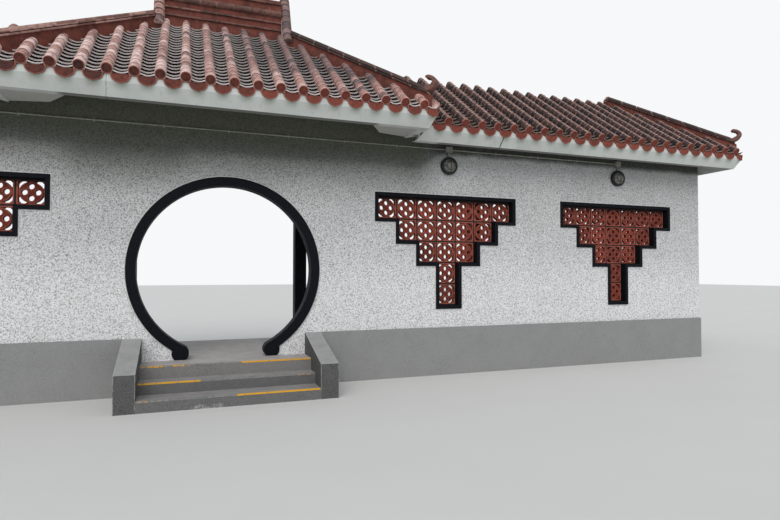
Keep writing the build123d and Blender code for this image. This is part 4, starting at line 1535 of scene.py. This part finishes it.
def plate(outlines, front, back, soft):
    """A plate in the wall's plane: outlines are loops of (x, z), front and back are Y values."""
    curve = bpy.data.curves.new("plate", "CURVE")
    curve.dimensions = "2D"
    curve.fill_mode = "BOTH"
    curve.extrude = (back - front) / 2 - soft
    curve.bevel_depth = soft
    curve.bevel_resolution = 0
    curve.offset = -soft
    for outline in outlines:
        spline = curve.splines.new("POLY")
        spline.points.add(len(outline) - 1)
        for point, (x, z) in zip(spline.points, outline):
            point.co = (x, z, 0.0, 1.0)
        spline.use_cyclic_u = True
    holder = bpy.data.objects.new("plate", curve)
    bpy.context.scene.collection.objects.link(holder)
    ready = holder.evaluated_get(bpy.context.evaluated_depsgraph_get())
    mesh = bpy.data.meshes.new_from_object(ready)
    edit = bmesh.new()
    edit.from_mesh(mesh)
    bmesh.ops.remove_doubles(edit, verts=edit.verts, dist=0.00002)
    middle = (front + back) / 2
    corners = np.array([(vert.co.x, middle - vert.co.z, vert.co.y) for vert in edit.verts])
    faces = [tuple(vert.index for vert in face.verts) for face in edit.faces]
    edit.free()
    bpy.data.objects.remove(holder)
    bpy.data.curves.remove(curve)
    bpy.data.meshes.remove(mesh)
    return corners, faces


trial = plate([oblong(0.10, 0.10, 0.01), circle(0.05)], 0.0, 0.02, 0.002)
print("faces of a square plate with one hole:", len(trial[1]))

# %% [markdown]
# ## Pierced blocks
# Each window is a stack of red clay blocks, 7, 5, 3, 1 and 1 to a row. A block has a thin square
# rim, a round shield with four holes that touches the rim, and a curved slot in each corner. The
# shield and its hole rims stand at slightly different depths, which catches the light.

# %% Parts of one block
screen_low, screen_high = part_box("block_screen_near_right")
block_rows = (7, 5, 3, 1, 1)
block_size = (screen_high[0] - screen_low[0]) / block_rows[0]
block_front = screen_low[1]
block_back = screen_high[1]
rim_outer = block_size / 2 - 0.010
rim_inner = 0.126
rim_corner = 0.012
shield = 0.119
slot_reach = 0.157
hole = 0.031
hole_reach = 0.066


def corner_slot(quarter):
    """The curved slot between the shield and one corner of the rim."""
    inner = [(shield * math.cos(turn), shield * math.sin(turn))
             for turn in np.radians(np.linspace(20, 70, 7))]
    outer = []
    for turn in np.radians(np.linspace(66, 24, 7)):
        reach = min(slot_reach, rim_inner / max(math.cos(turn), math.sin(turn)))
        outer.append((reach * math.cos(turn), reach * math.sin(turn)))
    points = inner + outer
    for _ in range(quarter):
        points = [(-z, x) for x, z in points]
    return points


rim_outline = oblong(rim_outer, rim_outer, rim_corner)
hole_places = [(hole_reach * math.cos(turn), hole_reach * math.sin(turn))
               for turn in np.radians((0, 90, 180, 270))]
holes = [circle(hole, at) for at in hole_places]
slots = [corner_slot(quarter) for quarter in range(4)]
body = plate([rim_outline] + holes + slots, block_front + 0.007, block_back, 0.003)
rim_outlines = [rim_outline, oblong(rim_inner, rim_inner, 0.02)]
rim = plate(rim_outlines, block_front, block_back - 0.004, 0.003)
raised = (block_front + 0.003, block_back - 0.003, 0.002)
shield_rim = plate([circle(shield - 0.001, count=36), circle(shield - 0.010, count=36)], *raised)
hole_rims = [plate([circle(hole + 0.009, at), circle(hole + 0.001, at)], *raised)
             for at in hole_places]
block_parts = [body, rim, shield_rim] + hole_rims
joint_outlines = [oblong(block_size / 2, block_size / 2, 0.002),
                  oblong(rim_outer - 0.003, rim_outer - 0.003, 0.010)]
joint = plate(joint_outlines, block_front + 0.012, block_back - 0.008, 0.001)
print("block faces", sum(len(faces) for corners, faces in block_parts))

# %% [markdown]
# A window is the same few plates, copied to each place on the pile. Each block leans and shifts
# by a little and has a tone of its own. The joints between the blocks are one dark grey.

# %% Pierced blocks
joint_black = grey_finish("joint_black", (0.020, 0.020, 0.021), (0.012, 0.012, 0.013),
                          (0.03, 0.03, 0.03), 0.001)
windows = ("far_left", "near_left", "near_right", "far_right")


def window_place(hand):
    """The middle and the top of a window's blocks, in the wall's plane."""
    low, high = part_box(f"block_screen_{hand}")
    return np.array([(low[0] + high[0]) / 2, 0.0, high[2]])


for hand in windows:
    blocks, joints = Pile(), Pile()
    for row, count in enumerate(block_rows):
        for number in range(count):
            across = (number - (count - 1) / 2) * block_size
            at = window_place(hand) + np.array([across, 0.0, -(row + 0.5) * block_size])
            tone = chance.triangular(0.0, 1.0, 0.4)
            lean = chance.uniform(-0.006, 0.006)
            turn = np.array([[math.cos(lean), 0.0, -math.sin(lean)], [0.0, 1.0, 0.0],
                             [math.sin(lean), 0.0, math.cos(lean)]])
            nudge = np.array([chance.uniform(-0.001, 0.001), chance.uniform(0.0, 0.003),
                              chance.uniform(-0.001, 0.001)])
            for corners, faces in block_parts:
                edge = 1.0 if faces is not body[1] else 0.0
                blocks.add(corners @ turn.T + at + nudge, faces, tone, np.full(len(corners), edge))
            joints.add(joint[0] + at, joint[1], 0.5)
    place_piece(f"pierced_blocks_{hand}", blocks, block_clay, "terracotta",
                f"block_screen_{hand}", sharp=30)
    place_piece(f"block_joints_{hand}", joints, joint_black, "terracotta",
                f"block_screen_{hand}", sharp=30)

# %% [markdown]
# ## Smooth white margins
# Where the rough wall meets a black frame, a finger's width of smooth white is left. Each margin
# is a thin plate with a hole, half sunk in the wall: a stepped one around a window, and an open
# ring around the gate, which ends where the gate's black ring does.

# %% Margins
margin = 0.013
margin_tuck = 0.003
margin_sheet = (wall_face - 0.003, wall_face + 0.004, 0.001)
frame_reach = screen_low[0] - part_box("window_frame_near_right")[0][0]
ring_end_turn = 54


def stepped(grow):
    """The stepped outline around the rows of blocks, grown by so much, with its middle at 0."""
    right = []
    for row, count in enumerate(block_rows):
        half = count * block_size / 2 + grow
        top = -row * block_size + (grow if row == 0 else -grow)
        bottom = -(row + 1) * block_size - grow
        if row and count == block_rows[row - 1]:
            right[-1] = (half, bottom)
        else:
            right += [(half, top), (half, bottom)]
    return right + [(-x, z) for x, z in reversed(right)]


white_margin = Finish("white_margin", rough=0.85, specular=0.2)
chalky = white_margin.noise(30.0, detail=4.0)
white_margin.colour(white_margin.mix(white_margin.mask(chalky, 0.35, 0.75), (0.74, 0.74, 0.73),
                                     (0.52, 0.52, 0.50)))
white_margin.bump(chalky, 0.001, 0.5)
margins = Pile()
window_margin = plate([stepped(frame_reach + margin), stepped(frame_reach - margin_tuck)],
                      *margin_sheet)
for hand in windows:
    margins.add(window_margin[0] + window_place(hand), window_margin[1], 0.5)
arc = np.radians(np.linspace(-ring_end_turn, 180 + ring_end_turn, 90))
outer_reach, inner_reach = gate_radius + margin, gate_radius - margin_tuck
outer_arc = [(outer_reach * math.cos(turn), outer_reach * math.sin(turn)) for turn in arc]
inner_arc = [(inner_reach * math.cos(turn), inner_reach * math.sin(turn)) for turn in reversed(arc)]
ring_margin = plate([outer_arc + inner_arc], *margin_sheet)
margins.add(ring_margin[0] + np.array([0.0, 0.0, gate_centre_z]), ring_margin[1], 0.5)
place_piece("white_margins", margins, white_margin.material, "roughcast")

# %% [markdown]
# ## Lamps
# Round things are turned: a profile of radii and depths carried once round. The lamp's black rim
# is a thick rounded ring, its glass a shallow dome.

# %% Lamps
rim_profile = ((0.125, 0.0), (0.125, 0.042), (0.121, 0.053), (0.112, 0.060), (0.103, 0.060),
               (0.096, 0.054), (0.094, 0.040), (0.094, 0.0))
glass_profile = ((0.096, 0.010), (0.095, 0.050), (0.088, 0.062), (0.070, 0.073), (0.045, 0.081),
                 (0.020, 0.0845), (0.004, 0.085))
lamp_low, lamp_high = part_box("lamp_rims")
lamp_z = (lamp_low[2] + lamp_high[2]) / 2
lamp_xs = (-6.0, -3.0, 3.0, 6.0)


def turned(profile, x):
    """A profile of (radius, distance in front of the wall), turned round a lamp's axis."""
    return strip([[(x + radius * math.cos(turn), wall_face - out, lamp_z + radius * math.sin(turn))
                   for radius, out in profile]
                  for turn in np.linspace(0, 2 * math.pi, 40, endpoint=False)])


rims, glasses = Pile(), Pile()
for x in lamp_xs:
    rims.add(*turned(rim_profile, x), 0.5)
    glasses.add(*turned(glass_profile, x), 0.5)
place_piece("lamp_rings", rims, lamp_metal.material, "lamp_metal", "lamp_rims")
place_piece("lamp_domes", glasses, lamp_glass.material, "lamp_glass", "lamp_glasses")

# %% [markdown]
# A wire guard, an upright bar and a ring on short legs, stands in front of each lamp. A wire is a
# small ring of corners carried along a path, turned so that it stays square to the path.

# %% Lamp guards
wire = 0.0042
guard_radius = 0.062
guard_y = wall_face - 0.094
guard_foot_y = wall_face - 0.054


def wire_along(points, radius, count=8):
    """A wire along points that lie in one upright plane, or nearly."""
    points = [np.array(point, dtype=float) for point in points]
    rings = []
    for number, point in enumerate(points):
        way = points[min(number + 1, len(points) - 1)] - points[max(number - 1, 0)]
        way = way / np.linalg.norm(way)
        side = np.cross(way, (0.0, 1.0, 0.0))
        square = np.linalg.norm(side) > 0.01
        side = side / np.linalg.norm(side) if square else np.array([1.0, 0.0, 0.0])
        other = np.cross(way, side)
        rings.append([point + radius * (math.cos(turn) * side + math.sin(turn) * other)
                      for turn in np.linspace(0, 2 * math.pi, count, endpoint=False)])
    return shell(rings)


cages = Pile()
for x in lamp_xs:
    bar = [(x, guard_foot_y, lamp_z - 0.108), (x, guard_y + 0.010, lamp_z - 0.090),
           (x, guard_y, lamp_z - guard_radius), (x, guard_y, lamp_z + guard_radius),
           (x, guard_y + 0.010, lamp_z + 0.090), (x, guard_foot_y, lamp_z + 0.108)]
    ring = [(x + guard_radius * math.cos(turn), guard_y, lamp_z + guard_radius * math.sin(turn))
            for turn in np.linspace(0, 2 * math.pi, 25)]
    legs = [[(x + side * guard_radius, guard_y, lamp_z),
             (x + side * 0.092, guard_y + 0.008, lamp_z),
             (x + side * 0.108, guard_foot_y, lamp_z)] for side in (-1, 1)]
    for path in [bar, ring] + legs:
        cages.add(*wire_along(path, wire), 0.5)
place_piece("lamp_cages", cages, lamp_metal.material, "lamp_metal", "lamp_rims")

# %% [markdown]
# ## Boxes over the lamps
# Over each lamp sits a small box with a lid and two screws, and a short stub goes down to the
# lamp. Box, lid and screw heads are plates, the stub is a thick wire.

# %% Boxes
supply_low, supply_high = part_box("supply_boxes")
supply_z = (supply_low[2] + supply_high[2]) / 2
supply_half = (supply_high[2] - supply_low[2]) / 2
box_half = 0.048
box_front = supply_low[1]
stub_radius = 0.012
stub_y = wall_face - 0.02

box_outline = oblong(box_half, supply_half - 0.002, 0.006)
lid_outline = oblong(0.050, supply_half, 0.007)
screw_outlines = [circle(0.0045, (side * 0.038, side * 0.026), 12) for side in (-1, 1)]
box_parts = [plate([box_outline], box_front + 0.010, wall_face, 0.002),
             plate([lid_outline], box_front + 0.001, box_front + 0.012, 0.0015)]
box_parts += [plate([outline], box_front, box_front + 0.003, 0.0005) for outline in screw_outlines]
boxes = Pile()
for x in lamp_xs:
    for corners, faces in box_parts:
        boxes.add(corners + np.array([x, 0.0, supply_z]), faces, 0.5)
    stub = [(x, stub_y, supply_z - supply_half + 0.004), (x, stub_y, lamp_z + 0.120)]
    boxes.add(*wire_along(stub, stub_radius, 14), 0.5)
place_piece("lamp_boxes", boxes, grey_plastic.material, "grey_plastic", "supply_boxes")

# %% [markdown]
# ## Conduit
# A round conduit joins the boxes. It is laid in eight stretches between each pair, and saddles
# hold it to the wall every 0.75 m or so: a plate on the wall and a sleeve over the pipe.

# %% Conduit
pipe_radius = 0.0098
pipe_y = wall_face - 0.0105
saddle_y = wall_face - 0.0095
saddle_half = 0.009
saddle_spacing = 0.75

saddle = plate([oblong(saddle_half, 0.024, 0.003)], wall_face - 0.003, wall_face + 0.001, 0.0008)
pipes = Pile()
for start, end in zip(lamp_xs, lamp_xs[1:]):
    left, right = start + box_half, end - box_half
    stops = np.linspace(left, right, 9)
    for stop_from, stop_to in zip(stops, stops[1:]):
        stretch = [(stop_from, pipe_y, supply_z), (stop_to, pipe_y, supply_z)]
        pipes.add(*wire_along(stretch, pipe_radius, 12), 0.5)
    count = round((right - left) / saddle_spacing)
    for x in np.linspace(left, right, count + 1)[1:-1]:
        sleeve = [(x - saddle_half, saddle_y, supply_z), (x + saddle_half, saddle_y, supply_z)]
        pipes.add(*wire_along(sleeve, pipe_radius + 0.002, 12), 0.5)
        pipes.add(saddle[0] + np.array([x, 0.0, supply_z]), saddle[1], 0.5)
place_piece("lamp_conduit", pipes, grey_plastic.material, "grey_plastic", "conduit")

# %% [markdown]
# ## Painted step edges
# The step edges were once painted yellow and are mostly worn bare. The paint reads a number from
# the mesh, how much of it is left at each place, and noise breaks up what remains.

# %% Edge paint
edge_paint = Finish("edge_paint", rough=0.7, specular=0.3)
left_over = edge_paint.plus(edge_paint.own("tone"), edge_paint.noise(26.0, detail=5.0, rough=0.7))
kept = edge_paint.mask(left_over, 0.98, 1.04)
yellow = edge_paint.mix(edge_paint.noise(12.0), (0.60, 0.29, 0.018), (0.74, 0.40, 0.035))
under = edge_paint.mix(edge_paint.mask(edge_paint.noise(30.0), 0.4, 0.6), (0.17, 0.17, 0.17),
                       (0.23, 0.225, 0.22))
edge_paint.colour(edge_paint.mix(kept, under, yellow))
edge_paint.bump(kept, 0.0006, 0.6)
print("edge paint nodes", len(edge_paint.tree.nodes))

# %% [markdown]
# The paint lies on a thin strip bent over each edge: one cross section, at 60 places along it.
# Some stretches of a step have kept more of it than others.

# %% Painted edges
edge_section = ((0.020, 0.0010), (0.012, 0.0012), (0.005, -0.002), (0.001, -0.006),
                (-0.0012, -0.012), (-0.0012, -0.016), (0.003, -0.016), (0.006, -0.012),
                (0.012, -0.005), (0.020, -0.003))
strips = Pile()


def painted_edge(node, wear):
    """A strip over a step's front edge. wear gives the paint left at a share of its length."""
    low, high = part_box(node)
    front, top = low[1], high[2]
    rings = []
    tones = []
    for share in np.linspace(0.004, 0.996, 60):
        x = low[0] + share * (high[0] - low[0])
        rings.append([(x, front + back, top + up) for back, up in edge_section])
        tones += [wear(share)] * len(edge_section)
    corners, faces = shell(rings)
    strips.add(corners, faces, np.array(tones))


painted_edge("landing",
             lambda share: 0.62 if share > 0.57 else (0.50 if share < 0.25 else 0.38))
painted_edge("middle_step",
             lambda share: 0.62 if share < 0.33 else (0.46 if share > 0.88 else 0.33))
painted_edge("lower_step",
             lambda share: 0.63 if share > 0.52 else (0.44 if share < 0.15 else 0.30))
place_piece("painted_edges", strips, edge_paint.material, "step_concrete")

# %% [markdown]
# ## Camera
# The view is from eye height and a little left of the gate's middle, turned right so that the
# wall runs away. Place, turn and lens were worked out from the wall's straight edges.

# %% Camera
picture_width = 780
lens_pixels = 555.5
camera_x = -0.503
wall_distance = 7.066
eye_height = 1.423
tilt_up = 1.312
turn_right = 20.353

camera_data = bpy.data.cameras.new("camera")
camera_data.sensor_width = 36.0
camera_data.lens = lens_pixels * camera_data.sensor_width / picture_width
camera = bpy.data.objects.new("camera", camera_data)
bpy.context.scene.collection.objects.link(camera)
camera.location = (camera_x, -wall_distance + wall_face, eye_height)
camera.rotation_euler = (math.radians(90 + tilt_up), 0.0, math.radians(-turn_right))
bpy.context.scene.camera = camera
print("lens", round(camera_data.lens, 2), "mm")

# %% [markdown]
# ## Sky
# The photograph was taken on a bright grey day: soft light from above and in front, and no hard
# shadow. An even sky gives the soft part. The camera, and what reflects or lets through, sees it
# as plain white instead: the light path tells those rays apart.

# %% Sky
scene = bpy.context.scene
scene.view_settings.view_transform = "Standard"
world = bpy.data.worlds.new("sky")
scene.world = world
world.use_nodes = True
sky = world.node_tree
backdrop = sky.nodes["Background"]
backdrop.inputs["Color"].default_value = (0.90, 0.95, 1.0, 1.0)
backdrop.inputs["Strength"].default_value = 0.62
white = sky.nodes.new("ShaderNodeBackground")
white.inputs["Color"].default_value = (0.93, 0.94, 0.95, 1.0)
white.inputs["Strength"].default_value = 1.0
rays = sky.nodes.new("ShaderNodeLightPath")
plain = rays.outputs["Is Camera Ray"]
for kind in ("Is Transmission Ray", "Is Glossy Ray"):
    either = sky.nodes.new("ShaderNodeMath")
    either.operation = "MAXIMUM"
    sky.links.new(plain, either.inputs[0])
    sky.links.new(rays.outputs[kind], either.inputs[1])
    plain = either.outputs["Value"]
chosen = sky.nodes.new("ShaderNodeMixShader")
sky.links.new(plain, chosen.inputs[0])
sky.links.new(backdrop.outputs["Background"], chosen.inputs[1])
sky.links.new(white.outputs["Background"], chosen.inputs[2])
sky.links.new(chosen.outputs["Shader"], sky.nodes["World Output"].inputs["Surface"])
print("sky nodes", len(sky.nodes))

# %% [markdown]
# ## Sun and floor
# A very wide sun adds the rest: a little more light from the front and left, without a hard
# shadow.

# %% Sun
sun_data = bpy.data.lights.new("sun", "SUN")
sun_data.energy = 1.5
sun_data.angle = math.radians(50)
sun_data.color = (1.0, 0.97, 0.92)
sun = bpy.data.objects.new("sun", sun_data)
sun.rotation_euler = (math.radians(48), 0.0, math.radians(-25))
scene.collection.objects.link(sun)
print("sun", sun_data.energy, "as wide as", round(math.degrees(sun_data.angle)), "degrees")

# %% [markdown]
# The floor is plain and pale, and large enough to reach the horizon. It is there for the picture
# only, and isn't a piece of the model.

# %% Floor
floor_mesh = bpy.data.meshes.new("ground")
reach = 60.0
floor_corners = [(-reach, -reach, 0), (reach, -reach, 0), (reach, reach, 0), (-reach, reach, 0)]
floor_mesh.from_pydata(floor_corners, [], [(0, 1, 2, 3)])
ground = bpy.data.objects.new("ground", floor_mesh)
scene.collection.objects.link(ground)
pale_floor = Finish("pale_floor", rough=0.9, specular=0.1)
pale_floor.colour(pale_floor.mix(pale_floor.noise(0.8), (0.66, 0.66, 0.65), (0.70, 0.70, 0.69)))
floor_mesh.materials.append(pale_floor.material)
print("floor", 2 * reach, "m wide")

# %% [markdown]
